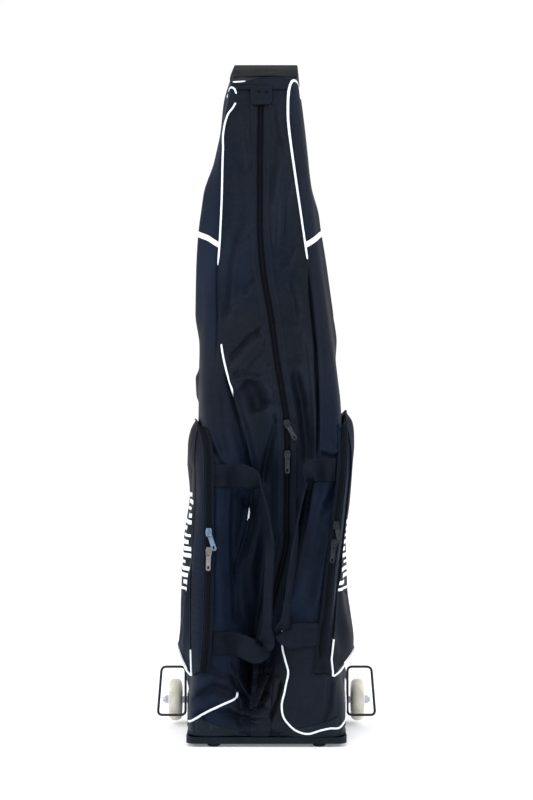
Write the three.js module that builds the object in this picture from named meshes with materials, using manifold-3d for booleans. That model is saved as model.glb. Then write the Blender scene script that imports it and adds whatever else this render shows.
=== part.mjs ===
// A wheeled weapon bag that stands on its end: a soft tapered shell on a rigid tray, a stiff back,
// two zipped side pockets, two webbing handles and a pair of guarded wheels at the rear bottom edge.
// Millimetres, +Z up, the zipped front faces -Y. The origin is on the floor under the middle of the bag.
import * as THREE from "three";
import { mergeVertices } from "three/addons/utils/BufferGeometryUtils.js";
import Module from "manifold-3d";

const wasm = await Module();
wasm.setup();

// ---- driving dimensions ----
const GAP = 0.3; // between pieces that touch
const CLOTH = 2; // fabric with its lining
const TRAY = { halfWidth: 137, front: -118, back: 104, bottom: 6, top: 17, floor: 4, wall: 4, corner: 16 };
const FOOT = { x: 90, frontY: -104, rearY: 88, radius: 11, height: TRAY.bottom - GAP };
const BACK = { cornerY: 102, boardY: 96, boardThickness: 3, boardInset: 7 };
const TOP = { z: 1152, y: 28, slope: 45 / 74, taperFrom: 1100, capThickness: 3 };
const WHEEL = { x: 166, y: 112, z: 43, radius: 38, width: 24, hubRadius: 23.7, hubWidth: 20 };
const BEARING = { bore: 4.06, radius: 11, width: 6.4 };
const AXLE = { radius: 4, headLength: 5.3, acrossFlats: 13, shankEnd: 186 };
const BRACKET = { inner: 139.5, thickness: 3, front: 64, back: 128, bottom: 3.2, top: 62, flange: 38 };
const HOOP = { y: 70, rod: 2.3, inner: 146, outerTop: 189, outerBottom: 196, bottom: 22, top: 109, bend: 9 };
const TAPE = { halfWidth: 14, thickness: 1, coil: 3, coilHeight: 2.2 };
const SLIDER = { width: 11, length: 14, depth: 5, lift: 1.3, bailReach: 6, bailLength: 8.4, bailWidth: 2.2 };
const PULLER = { width: 8, length: 34, thickness: 1.6, eyeHalf: 2.7, lean: THREE.MathUtils.degToRad(18) };
const PIPING = 1.9; // radius of the piping cord

const V = (x, y, z) => new THREE.Vector3(x, y, z);
const black = new THREE.MeshStandardMaterial({ color: 0x14171f, roughness: 0.62 });
const webbing = new THREE.MeshStandardMaterial({ color: 0x12151c, roughness: 0.8 });
const zipTape = new THREE.MeshStandardMaterial({ color: 0x0b0d12, roughness: 0.85 });
const white = new THREE.MeshStandardMaterial({ color: 0xe9ecf4, roughness: 0.45 });
const plastic = new THREE.MeshStandardMaterial({ color: 0x101820, roughness: 0.5 });
const rubber = new THREE.MeshStandardMaterial({ color: 0x0c0e12, roughness: 0.75 });
const paintedSteel = new THREE.MeshStandardMaterial({ color: 0x14151c, roughness: 0.4, metalness: 0.4 });
const zinc = new THREE.MeshStandardMaterial({ color: 0xb9c2cf, roughness: 0.3, metalness: 0.9 });
const gunmetal = new THREE.MeshStandardMaterial({ color: 0x3b3f47, roughness: 0.35, metalness: 0.8 });
const urethane = new THREE.MeshStandardMaterial({ color: 0xd8d3c4, roughness: 0.45 });
const hubRed = new THREE.MeshStandardMaterial({ color: 0x8c2038, roughness: 0.5 });
const board = new THREE.MeshStandardMaterial({ color: 0x22242a, roughness: 0.7 });

const CENTRE_Y = -9; // moves the bag so that its box is centred on the origin
const bag = new THREE.Group();
bag.position.y = CENTRE_Y;

function add(name, geometry, material, parent = bag) {
  const mesh = new THREE.Mesh(geometry, material);
  mesh.name = name;
  parent.add(mesh);
  return mesh;
}

// ---- solids ----
function toSolid(geometry) {
  const bare = new THREE.BufferGeometry().setAttribute("position", geometry.getAttribute("position"));
  if (geometry.index) bare.setIndex(geometry.index);
  const merged = mergeVertices(bare, 1e-4);
  return new wasm.Manifold(
    new wasm.Mesh({
      numProp: 3,
      vertProperties: new Float32Array(merged.attributes.position.array),
      triVerts: new Uint32Array(merged.index.array),
    }),
  );
}

function toGeometry(solid) {
  const mesh = solid.getMesh();
  return new THREE.BufferGeometry()
    .setAttribute("position", new THREE.BufferAttribute(mesh.vertProperties, 3))
    .setIndex(new THREE.BufferAttribute(mesh.triVerts, 1));
}

// A closed surface through rings of points, each ring with the same count, capped at both ends.
function loft(rings) {
  const count = rings[0].length;
  const positions = rings.flat().flatMap((p) => [p.x, p.y, p.z]);
  const index = [];
  for (let r = 0; r + 1 < rings.length; r++)
    for (let k = 0; k < count; k++) {
      const a = r * count + k;
      const b = r * count + ((k + 1) % count);
      index.push(a, b, b + count, a, b + count, a + count);
    }
  const last = (rings.length - 1) * count;
  for (let k = 1; k + 1 < count; k++) {
    index.push(0, k + 1, k);
    index.push(last, last + k, last + k + 1);
  }
  const geometry = new THREE.BufferGeometry();
  geometry.setAttribute("position", new THREE.Float32BufferAttribute(positions, 3));
  geometry.setIndex(index);
  return toSolid(geometry).volume() < 0 ? flipped(geometry) : geometry;
}

function flipped(geometry) {
  const index = geometry.index.array;
  for (let i = 0; i < index.length; i += 3) [index[i + 1], index[i + 2]] = [index[i + 2], index[i + 1]];
  return geometry;
}

// A sheet of cloth: rows[j][i] is its outer face, depths[j][i] the same point on its inner face.
function sheet(rows, depths) {
  const across = rows[0].length;
  const along = rows.length;
  const all = [...rows.flat(), ...depths.flat()];
  const back = across * along;
  const index = [];
  const quad = (a, b, c, d) => index.push(a, b, c, a, c, d);
  for (let j = 0; j + 1 < along; j++)
    for (let i = 0; i + 1 < across; i++) {
      const a = j * across + i;
      quad(a, a + 1, a + 1 + across, a + across);
      quad(back + a, back + a + across, back + a + 1 + across, back + a + 1);
    }
  for (let i = 0; i + 1 < across; i++) {
    const top = (along - 1) * across + i;
    quad(i, back + i, back + i + 1, i + 1);
    quad(top, top + 1, back + top + 1, back + top);
  }
  for (let j = 0; j + 1 < along; j++) {
    const left = j * across;
    const right = left + across - 1;
    quad(left, left + across, back + left + across, back + left);
    quad(right, back + right, back + right + across, right + across);
  }
  const geometry = new THREE.BufferGeometry();
  geometry.setAttribute("position", new THREE.Float32BufferAttribute(all.flatMap((p) => [p.x, p.y, p.z]), 3));
  geometry.setIndex(index);
  return toSolid(geometry).volume() < 0 ? flipped(geometry) : geometry;
}

// Offsets a grid of points along its normals, which face the way that away(point) looks.
function offsetRows(rows, distance, away) {
  return rows.map((row, j) =>
    row.map((p, i) => {
      const alongRow = row[Math.min(i + 1, row.length - 1)].clone().sub(row[Math.max(i - 1, 0)]);
      const upRow = rows[Math.min(j + 1, rows.length - 1)][i].clone().sub(rows[Math.max(j - 1, 0)][i]);
      const normal = alongRow.cross(upRow).normalize();
      if (normal.dot(away(p)) < 0) normal.negate();
      return p.clone().addScaledVector(normal, distance);
    }),
  );
}

function cylinder(radius, x0, x1, segments = 28) {
  return new THREE.CylinderGeometry(radius, radius, x1 - x0, segments)
    .rotateZ(Math.PI / 2)
    .translate((x0 + x1) / 2, 0, 0);
}

// A profile of [x, radius] points turned about the X axis.
function turned(profile, segments = 28) {
  const points = profile.map(([x, r]) => new THREE.Vector2(r, x));
  const geometry = new THREE.LatheGeometry(points, segments).rotateZ(-Math.PI / 2);
  if (!geometry.index) return geometry;
  return toSolid(geometry).volume() < 0 ? flipped(geometry) : geometry;
}

function roundedRect(x0, y0, x1, y1, r, target = new THREE.Shape()) {
  target.moveTo(x0 + r, y0).lineTo(x1 - r, y0).absarc(x1 - r, y0 + r, r, -Math.PI / 2, 0);
  target.lineTo(x1, y1 - r).absarc(x1 - r, y1 - r, r, 0, Math.PI / 2);
  target.lineTo(x0 + r, y1).absarc(x0 + r, y1 - r, r, Math.PI / 2, Math.PI);
  target.lineTo(x0, y0 + r).absarc(x0 + r, y0 + r, r, Math.PI, 1.5 * Math.PI);
  return target;
}

const extrude = (shape, depth, curveSegments = 4) =>
  new THREE.ExtrudeGeometry(shape, { depth, bevelEnabled: false, curveSegments });

// ---- the lines that the shell is sewn along: [z, x, y] from the tray to the top ----
function seam(points) {
  const topY = points[points.length - 1][2];
  const topZ = TOP.z + (topY - TOP.y) * TOP.slope;
  const all = [...points.slice(0, -1), [topZ, ...points[points.length - 1].slice(1)]];
  return {
    topZ,
    at(z) {
      const k = Math.min(Math.max(all.findIndex((p) => p[0] > z) - 1, 0), all.length - 2);
      const i = z >= topZ ? all.length - 2 : k;
      const [a, b] = [all[i], all[i + 1]];
      const before = all[i - 1] ?? a;
      const after = all[i + 2] ?? b;
      const t = (Math.min(Math.max(z, all[0][0]), topZ) - a[0]) / (b[0] - a[0]);
      const value = (c) => {
        const m0 = ((b[c] - before[c]) / (b[0] - before[0])) * (b[0] - a[0]);
        const m1 = ((after[c] - a[c]) / (after[0] - a[0])) * (b[0] - a[0]);
        const [t2, t3] = [t * t, t * t * t];
        return (2 * t3 - 3 * t2 + 1) * a[c] + (t3 - 2 * t2 + t) * m0 + (3 * t2 - 2 * t3) * b[c] + (t3 - t2) * m1;
      };
      return V(value(1), value(2), Math.min(z, topZ));
    },
  };
}

const SHELL_BOTTOM = TRAY.top + GAP + 1;
const zipPoints = [
  [SHELL_BOTTOM, -12, -110], [50, -12, -98], [100, -6, -72], [170, 8, -48], [250, 26, -40], [337, 35, -45],
  [371, 35.5, -47], [548, 35.5, -56], [581, 31, -51], [660, 18, -40], [747, 6, -28], [783, -1, -23],
  [836, -8, -15.5], [889, -11.4, -8], [943, -11.5, -0.5], [1032, -11.5, 12], [1116, -10, 23], [1152, -9, 27],
];
const beside = (dx) => seam(zipPoints.map(([z, x, y]) => [z, x + dx, y]));
const SEAMS = {
  backLeft: seam([[SHELL_BOTTOM, -130, 102], [560, -114, 102], [900, -88, 102], [1197, -57, 102]]),
  sideLeft: seam([
    [SHELL_BOTTOM, -136, -20], [60, -137, 0], [120, -134, 0], [200, -128, 5], [350, -124, 8], [480, -121, 12],
    [554, -120.5, 15], [625, -120, 20], [768, -118.5, 30], [840, -117, 35], [894, -113.5, 40], [948, -107, 45],
    [993, -100, 48], [1038, -89, 52], [1066, -83, 54], [1129, -76, 58], [1172, -63, 62],
  ]),
  shoulderLeft: seam([
    [SHELL_BOTTOM, -120, -111], [60, -122, -96], [120, -112, -90], [200, -102, -90], [300, -94, -91],
    [400, -92, -88], [480, -92, -80], [550, -98, -60], [625, -104, -36], [700, -105, -18], [800, -104, -6],
    [900, -99, 6], [1000, -90, 20], [1100, -75, 34], [1160, -64, 42],
  ]),
  pipingLeft: seam([
    [SHELL_BOTTOM, -52, -110], [81, -49, -84], [159, -49, -72], [244, -49, -62], [330, -41, -55], [382, -32, -50],
    [434, -26, -48], [495, -32, -50], [547, -44, -50], [595, -56, -46], [634, -68, -42], [674, -77, -37],
    [730, -83, -29], [818, -85, -19], [871, -82, -12], [943, -79, -2], [1032, -77, 9], [1083, -74, 16],
    [1112, -68, 21], [1152, -61, 28],
  ]),
  valleyLeft: seam([
    [SHELL_BOTTOM, -32, -110], [50, -32, -92], [100, -28, -60], [200, -18, -30], [300, -8, -28], [400, 2, -34],
    [500, 0, -44], [600, -18, -38], [700, -38, -34], [800, -48, -20], [900, -48, -6], [1000, -46, 7],
    [1100, -38, 20], [1152, -36, 27],
  ]),
  zipLeft: beside(-TAPE.halfWidth - GAP),
  zipRight: beside(TAPE.halfWidth + GAP),
  valleyRight: seam([
    [SHELL_BOTTOM, 12, -111], [50, 14, -104], [100, 16, -88], [200, 30, -66], [300, 52, -56], [400, 63, -56],
    [500, 66, -58], [600, 62, -46], [700, 50, -32], [800, 38, -19], [900, 28, -6], [1000, 22, 8], [1100, 16, 21],
    [1152, 17, 27],
  ]),
  pipingRight: seam([
    [SHELL_BOTTOM, 32, -112], [70, 31, -106], [128, 37, -96], [170, 40, -90], [220, 46, -82], [280, 62, -78],
    [332, 70, -76], [418, 79, -74], [504, 88, -67], [625, 89, -49], [686, 86, -40], [765, 80, -28],
    [827, 73, -19], [907, 62, -7], [978, 52, 3], [1068, 40, 15], [1105, 38, 20], [1152, 41, 28],
  ]),
  shoulderRight: seam([
    [SHELL_BOTTOM, 122, -112], [60, 122, -104], [120, 110, -98], [200, 96, -93], [300, 102, -91], [400, 115, -84],
    [480, 122, -74], [550, 122, -62], [625, 117, -44], [700, 109, -28], [800, 97, -10], [900, 83, 5],
    [1000, 70, 19], [1100, 57, 34], [1160, 51, 42],
  ]),
  sideRight: seam([
    [SHELL_BOTTOM, 136, -20], [60, 137, 0], [120, 134, 0], [200, 128, 5], [350, 128, 8], [480, 131, 10],
    [519, 132, 12], [590, 130, 18], [625, 126, 20], [697, 118, 25], [768, 108, 30], [840, 98, 35], [894, 90, 40],
    [948, 84, 45], [1020, 75, 50], [1075, 69, 55], [1129, 62, 58], [1172, 55, 62],
  ]),
  backRight: seam([[SHELL_BOTTOM, 130, 102], [560, 114, 102], [900, 84, 102], [1197, 55, 102]]),
};
const SEAM_NAMES = Object.keys(SEAMS);

// A point on the shell's outer face. place counts along SEAM_NAMES, and z is the height, read below the
// top taper; above it every seam runs to its own top, so that the top edge lies in one sloping plane.
function shellPoint(place, z) {
  const lines = Object.values(SEAMS);
  const i = Math.min(Math.floor(place), lines.length - 2);
  const share = (z - TOP.taperFrom) / (TOP.z - TOP.taperFrom);
  const height = (line) => (share > 0 ? TOP.taperFrom + share * (line.topZ - TOP.taperFrom) : z);
  const point = (n) => {
    const line = lines[Math.min(Math.max(n, 0), lines.length - 1)];
    return line.at(height(line));
  };
  return new THREE.CatmullRomCurve3([point(i - 1), point(i), point(i + 1), point(i + 2)].filter(
    (p, n, all) => n === 0 || p.distanceTo(all[n - 1]) > 1e-6,
  ), false, "centripetal").getPoint(
    i === 0 ? (place - i) / 2 : i === lines.length - 2 ? 0.5 + (place - i) / 2 : (1 + place - i) / 3,
  );
}

const towardsInside = (p) => V(0, 60, p.z).sub(p).setZ(0);
const towardsOutside = (p) => towardsInside(p).negate();

// Heights of the rows of a panel, closer together where the shell bends more.
const LEVELS = [SHELL_BOTTOM, 40, 70, 110, 160, 220, 280, 340, 400, 460, 520, 580, 640, 710, 790, 870, 950, 1030];
LEVELS.push(1090, 1125, TOP.z);

// The shell's own normal at a place, facing out.
function shellNormal(place, z) {
  const most = SEAM_NAMES.length - 1;
  const across = shellPoint(Math.min(place + 0.1, most), z).sub(shellPoint(Math.max(place - 0.1, 0), z));
  const up = shellPoint(place, z + 5).sub(shellPoint(place, z - 5));
  const normal = across.cross(up).normalize();
  return normal.dot(towardsOutside(shellPoint(place, z))) < 0 ? normal.negate() : normal;
}

function shellPanel(from, to, steps) {
  const [first, last] = [SEAM_NAMES.indexOf(from), SEAM_NAMES.indexOf(to)];
  const places = [];
  for (let n = 0; n <= (last - first) * steps; n++) places.push(first + n / steps);
  const outer = [];
  const inner = [];
  for (const z of LEVELS) {
    const row = places.map((place) => shellPoint(place, z));
    const end = row.length - 1;
    row[0].lerp(row[1], (GAP * 0.6) / row[0].distanceTo(row[1])); // keeps two cut edges apart
    row[end].lerp(row[end - 1], (GAP * 0.6) / row[end].distanceTo(row[end - 1]));
    outer.push(row);
    inner.push(row.map((p, n) => p.clone().addScaledVector(shellNormal(places[n], z), -CLOTH)));
  }
  return sheet(outer, inner);
}

// Moves a point outwards from the middle of the bag until it clears the shell.
function clearOfShell(point, clearance) {
  const away = towardsOutside(point);
  const reach = away.length();
  away.normalize();
  let nearest = 0;
  let before = null;
  for (let place = 0; place <= SEAM_NAMES.length - 1; place += 0.1) {
    const p = shellPoint(place, point.z).sub(V(0, 60, point.z));
    const side = p.x * away.y - p.y * away.x;
    if (before && before.side * side <= 0 && p.dot(away) > 0) {
      const t = before.side / (before.side - side || 1);
      nearest = Math.max(nearest, THREE.MathUtils.lerp(before.reach, p.dot(away), t));
    }
    before = { side, reach: p.dot(away) };
  }
  return nearest + clearance > reach ? point.clone().addScaledVector(away, nearest + clearance - reach) : point;
}

// The front of the shell at a given x and height, found between two seams.
function frontPoint(x, z, from, to) {
  let [low, high] = [SEAM_NAMES.indexOf(from), SEAM_NAMES.indexOf(to)];
  for (let n = 0; n < 24; n++) {
    const middle = (low + high) / 2;
    if (shellPoint(middle, z).x < x) low = middle;
    else high = middle;
  }
  return shellPoint(low, z);
}

// ---- rigid base: tray, feet, stiff back ----
function makeBase() {
  const { halfWidth: w, front, back, bottom, top, floor, wall, corner } = TRAY;
  const outer = extrude(roundedRect(-w, front, w, back, corner), top - bottom).translate(0, 0, bottom);
  const inner = extrude(
    roundedRect(-w + wall, front + wall, w - wall, back - wall, corner - wall),
    top - bottom,
  ).translate(0, 0, bottom + floor);
  add("base_tray", toGeometry(toSolid(outer).subtract(toSolid(inner))), plastic);
  const footProfile = [[0, 0], [0, 8], [2, FOOT.radius], [FOOT.height, FOOT.radius], [FOOT.height, 0]];
  for (const [row, y] of [["front", FOOT.frontY], ["rear", FOOT.rearY]])
    for (const [side, sign] of [["left", -1], ["right", 1]]) {
      const foot = add(`foot_${row}_${side}`, turned(footProfile, 20).rotateY(-Math.PI / 2), rubber);
      foot.position.set(sign * FOOT.x, y, 0);
    }
}

function backOutline(inset, bottom, top) {
  const heights = [bottom, 300, 560, 730, 900, 1050, top];
  const left = heights.map((z) => new THREE.Vector2(SEAMS.backLeft.at(z).x + inset, z));
  const right = heights.map((z) => new THREE.Vector2(SEAMS.backRight.at(z).x - inset, z));
  return new THREE.Shape([...right, ...left.reverse()]);
}

function makeBack() {
  const panel = extrude(backOutline(0, SHELL_BOTTOM, 1197), CLOTH).rotateX(Math.PI / 2);
  add("back_panel", panel.translate(0, BACK.cornerY + GAP + CLOTH, 0), black);
  const stiffener = extrude(backOutline(BACK.boardInset, TRAY.bottom + TRAY.floor + 1, 1180), BACK.boardThickness);
  add("back_board", stiffener.rotateX(Math.PI / 2).translate(0, BACK.boardY + BACK.boardThickness, 0), board);
}

// ---- soft shell ----
function makeShell() {
  add("side_panel_left", shellPanel("backLeft", "pipingLeft", 3), black);
  add("side_panel_right", shellPanel("pipingRight", "backRight", 3), black);
  add("front_panel_left", shellPanel("pipingLeft", "zipLeft", 3), black);
  add("front_panel_right", shellPanel("zipRight", "pipingRight", 3), black);
}

// The top end is a stiffened panel over the sloping top edge of the shell.
function makeTopEnd() {
  const across = Math.hypot(1, TOP.slope);
  const outline = [];
  for (let place = 0; place <= SEAM_NAMES.length - 1; place += 0.5) {
    const p = shellPoint(place, TOP.z);
    outline.push(new THREE.Vector2(p.x, (p.y - TOP.y) * across));
  }
  const cap = extrude(new THREE.Shape(outline), TOP.capThickness).rotateX(Math.atan(TOP.slope));
  add("top_end_panel", cap.translate(0, TOP.y - GAP, TOP.z + GAP + 0.2), black);
}

// A strap: frames are [centre, direction of its width, width, thickness].
function ribbon(frames, steps) {
  const centres = new THREE.CatmullRomCurve3(frames.map((f) => f[0]), false, "centripetal");
  const rings = [];
  for (let n = 0; n <= steps; n++) {
    const share = (n / steps) * (frames.length - 1);
    const i = Math.min(Math.floor(share), frames.length - 2);
    const t = share - i;
    const centre = centres.getPoint(n / steps);
    const ahead = centres.getTangent(Math.min(Math.max(n / steps, 0.001), 0.999));
    const wide = frames[i][1].clone().lerp(frames[i + 1][1], t);
    wide.addScaledVector(ahead, -wide.dot(ahead)).normalize();
    const out = ahead.clone().cross(wide).normalize();
    const width = THREE.MathUtils.lerp(frames[i][2], frames[i + 1][2], t) / 2;
    const thick = THREE.MathUtils.lerp(frames[i][3], frames[i + 1][3], t) / 2;
    const corner = (a, b) => centre.clone().addScaledVector(wide, a * width).addScaledVector(out, b * thick);
    rings.push([corner(-1, -1), corner(1, -1), corner(1, 1), corner(-1, 1)]);
  }
  return loft(rings);
}

// ---- zips ----
// A strip of tape beside or on a zip line, dx0 to dx1 across, standing proud of the line by low to high.
function zipStrip(points, dx0, dx1, low, high) {
  const face = points.map((p) => [V(p.x + dx0, p.y - high, p.z), V(p.x + dx1, p.y - high, p.z)]);
  const under = points.map((p) => [V(p.x + dx0, p.y - low, p.z), V(p.x + dx1, p.y - low, p.z)]);
  return sheet(face, under);
}

function linePoints(line, from, to, steps) {
  const points = [];
  for (let n = 0; n <= steps; n++) points.push(line.at(THREE.MathUtils.lerp(from, to, n / steps)));
  return points;
}

const mainZip = seam(zipPoints);
const MAIN_ZIP_FROM = 40;
const MAIN_ZIP_TO = 1146;

function makeMainZip() {
  const points = linePoints(mainZip, MAIN_ZIP_FROM, MAIN_ZIP_TO, 34);
  const edge = TAPE.coil + GAP;
  add("main_zip_tape_left", zipStrip(points, -TAPE.halfWidth + 1, -edge, 0, TAPE.thickness), zipTape);
  add("main_zip_tape_right", zipStrip(points, edge, TAPE.halfWidth - 1, 0, TAPE.thickness), zipTape);
  add("main_zip_coil", zipStrip(points, -TAPE.coil, TAPE.coil, 0, TAPE.coilHeight), zipTape);
}

// The slider's own frame: it travels along Z, its face looks along -Y, and y = 0 is the top of the tape.
// The puller's crossbar lies in the bail's eye at the pivot.
const PIVOT = V(0, -(SLIDER.lift + SLIDER.depth + SLIDER.bailReach / 2 - 0.65), 0);

function sliderGeometry() {
  const half = SLIDER.width / 2;
  const end = SLIDER.length / 2;
  const shape = new THREE.Shape();
  shape.moveTo(-half + 1, -end).lineTo(half - 1, -end).lineTo(half, 1).lineTo(half - 1.5, end);
  shape.lineTo(-half + 1.5, end).lineTo(-half, 1).closePath();
  const body = extrude(shape, SLIDER.depth).rotateX(Math.PI / 2).translate(0, -SLIDER.lift, 0);
  const reach = SLIDER.lift + SLIDER.depth;
  const long = SLIDER.bailLength / 2;
  const arch = new THREE.Shape();
  arch.moveTo(-reach + 0.5, -long).lineTo(-reach - SLIDER.bailReach + 1, -long);
  arch.lineTo(-reach - SLIDER.bailReach, -long + 1).lineTo(-reach - SLIDER.bailReach, long - 1);
  arch.lineTo(-reach - SLIDER.bailReach + 1, long).lineTo(-reach + 0.5, long).closePath();
  const eye = new THREE.Path();
  const wall = 1.4;
  eye.moveTo(-reach - 0.1, long - wall).lineTo(-reach - SLIDER.bailReach + wall, long - wall);
  eye.lineTo(-reach - SLIDER.bailReach + wall, -long + wall).lineTo(-reach - 0.1, -long + wall);
  arch.holes.push(eye);
  const bail = extrude(arch, SLIDER.bailWidth).translate(0, 0, -SLIDER.bailWidth / 2);
  bail.applyMatrix4(new THREE.Matrix4().makeBasis(V(0, 1, 0), V(0, 0, 1), V(1, 0, 0)));
  return toGeometry(toSolid(body).add(toSolid(bail)));
}

function pullerGeometry() {
  const { width, length, thickness, eyeHalf } = PULLER;
  const half = width / 2;
  const shape = new THREE.Shape();
  shape.moveTo(-half, 1).lineTo(-half, -length + 3).lineTo(-half + 2, -length + 1);
  shape.lineTo(half - 2, -length + 1).lineTo(half, -length + 3).lineTo(half, 1).closePath();
  const eye = new THREE.Path();
  eye.moveTo(-eyeHalf, -0.9).lineTo(-eyeHalf, -8).lineTo(eyeHalf, -8).lineTo(eyeHalf, -0.9);
  const slot = new THREE.Path();
  slot.moveTo(-1.6, -length + 4).lineTo(1.6, -length + 4).lineTo(1.6, -length + 9).lineTo(-1.6, -length + 9);
  shape.holes.push(eye, slot);
  return extrude(shape, thickness).rotateX(Math.PI / 2).translate(0, thickness / 2, 0);
}

// One slider with its puller. at is on the zip line, along is the way that it travels.
function makeSlider(name, at, along, lean) {
  const up = along.clone().normalize();
  if (up.z < 0) up.negate();
  const side = V(1, 0, 0).addScaledVector(up, -up.x).normalize();
  const frame = new THREE.Group();
  frame.name = `${name}_frame`;
  frame.position.copy(at).add(V(0, -TAPE.coilHeight, 0));
  frame.quaternion.setFromRotationMatrix(new THREE.Matrix4().makeBasis(side, up.clone().cross(side), up));
  bag.add(frame);
  add(`${name}_slider`, sliderGeometry(), gunmetal, frame);
  const puller = add(`${name}_puller`, pullerGeometry(), gunmetal, frame);
  puller.position.copy(PIVOT);
  puller.rotation.set(-Math.asin(up.y), -lean, 0); // hangs straight down
}

const SLIDER_STEP = { main: 52, pocket: 32 }; // between the two sliders of a zip
const POCKET_ZIPS = {
  left: seamBetween([[124, -107, -95.5], [162, -103, -97.5], [248, -99, -98.4], [368, -98.5, -97.5], [470, -99, -92]]),
  right: seamBetween([[137, 89, -100], [180, 94, -101.2], [231, 102, -101.5], [299, 109, -100.6], [350, 116, -99],
    [401, 122, -94], [460, 129, -86]]),
};

// A line through [z, x, y] points that doesn't reach the top of the bag.
function seamBetween(points) {
  const curve = new THREE.CatmullRomCurve3(points.map(([z, x, y]) => V(x, y, z)), false, "centripetal");
  const samples = curve.getPoints(120);
  return {
    from: points[0][0],
    to: points[points.length - 1][0],
    at: (z) => samples.reduce((best, p) => (Math.abs(p.z - z) < Math.abs(best.z - z) ? p : best)).clone(),
  };
}

const MAIN_SLIDER_Z = 548;
const MAIN_ZIP_STRAIGHT_TO = 783; // above this the zip bends away from the slider's straight path
const POCKET_SLIDER_Z = { left: 366, right: 376 };
const POCKET_TOP_Z = { left: 468, right: 456 };
const POCKET_LOW_Z = { left: 150, right: 190 };

function makeSliders() {
  const upper = mainZip.at(MAIN_SLIDER_Z);
  const lower = mainZip.at(MAIN_SLIDER_Z - SLIDER_STEP.main);
  makeSlider("main_upper", upper, mainZip.at(MAIN_ZIP_STRAIGHT_TO).sub(upper), PULLER.lean);
  makeSlider("main_lower", lower, lower.clone().sub(mainZip.at(371)), 0);
  for (const side of ["left", "right"]) {
    const zip = POCKET_ZIPS[side];
    const [high, low] = [zip.at(POCKET_SLIDER_Z[side]), zip.at(POCKET_SLIDER_Z[side] - SLIDER_STEP.pocket)];
    makeSlider(`pocket_${side}_upper`, high, zip.at(POCKET_TOP_Z[side]).sub(high), PULLER.lean);
    makeSlider(`pocket_${side}_lower`, low, low.clone().sub(zip.at(POCKET_LOW_Z[side])), 0);
  }
}

// ---- side pockets ----
// Each pocket is one cloth shell over the side of the bag, from its zip to the back corner.
const POCKET_LINES = {
  left: [
    [[124, -114, -92], [248, -107, -98], [368, -107, -96], [470, -108, -88], [541, -112, -46]],
    [[111, -132, -52], [180, -133, -62], [300, -131, -66], [420, -124, -62], [500, -125, -48], [549, -119, -22]],
    [[132, -158, -10], [182, -152, -8], [240, -151, -6], [326, -146, -4], [379, -139, -2], [420, -134, 0],
      [476, -137, 2], [511, -139, 4], [538, -134, 6], [555, -125, 8]],
    [[158, -142, 60], [240, -140, 62], [330, -135, 62], [430, -128, 62], [510, -127, 62], [548, -122, 60]],
    [[168, -134, 94], [300, -128, 96], [430, -123, 96], [540, -119, 96]],
  ],
  right: [
    [[122, 97, -98], [231, 112, -100], [299, 118, -98], [350, 125, -94], [401, 131, -86], [460, 137, -74],
      [548, 133, -46]],
    [[116, 118, -56], [180, 120, -66], [300, 128, -64], [420, 139, -58], [500, 146, -44], [560, 138, -20]],
    [[140, 152, -10], [159, 154, -9], [212, 147, -8], [256, 142, -6], [361, 142, -4], [414, 148, -2], [476, 153, 0],
      [520, 155, 2], [551, 152, 5], [570, 140, 8]],
    [[158, 142, 60], [240, 140, 62], [330, 138, 62], [430, 140, 62], [510, 142, 62], [562, 133, 60]],
    [[168, 134, 94], [300, 128, 96], [430, 124, 96], [556, 120, 96]],
  ],
};

function makePocket(side) {
  const lines = POCKET_LINES[side].map((points) => seamBetween(points));
  const rows = [];
  const stepsUp = 13;
  for (let j = 0; j <= stepsUp; j++) {
    const share = j / stepsUp;
    const curve = new THREE.CatmullRomCurve3(
      lines.map((line) => line.at(THREE.MathUtils.lerp(line.from, line.to, share))),
      false,
      "centripetal",
    );
    rows.push(curve.getPoints(10).map((p) => clearOfShell(p, CLOTH + 3)));
  }
  add(`pocket_${side}`, sheet(rows, offsetRows(rows, CLOTH, towardsInside)), black);
  const zip = POCKET_ZIPS[side];
  const points = linePoints(zip, zip.from + 4, zip.to - 2, 16).map((p) => clearOfShell(p, 3));
  add(`pocket_zip_${side}`, zipStrip(points, -6.5, 6.5, -0.6, TAPE.coilHeight - GAP), zipTape);
}

// ---- piping sewn round each side panel: up the panel's front edge and round its bottom corner ----
function makePiping(side, seamName, corner) {
  const line = SEAMS[seamName];
  const points = corner.map(([x, z, from, to]) => frontPoint(x, z, from, to));
  const front = V(0, -PIPING - 1, 0);
  for (let z = 112; z < 1150; z += 37) points.push(line.at(z));
  const curve = new THREE.CatmullRomCurve3(points.map((p) => p.add(front)), false, "centripetal");
  const rings = [];
  const steps = 52;
  for (let n = 0; n <= steps; n++) {
    const free = curve.getPoint(n / steps);
    const centre = free.z < 112 ? clearOfShell(free, PIPING + 1.5) : free;
    const ahead = curve.getTangent(n / steps);
    const one = V(0, 1, 0).addScaledVector(ahead, -ahead.y).normalize();
    const two = ahead.clone().cross(one).normalize();
    const ring = [];
    for (let k = 0; k < 6; k++) {
      const a = (k / 6) * 2 * Math.PI;
      const r = PIPING * 0.85;
      ring.push(centre.clone().addScaledVector(one, r * Math.cos(a)).addScaledVector(two, r * Math.sin(a)));
    }
    rings.push(ring);
  }
  add(`piping_${side}`, loft(rings), white);
}

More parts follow.
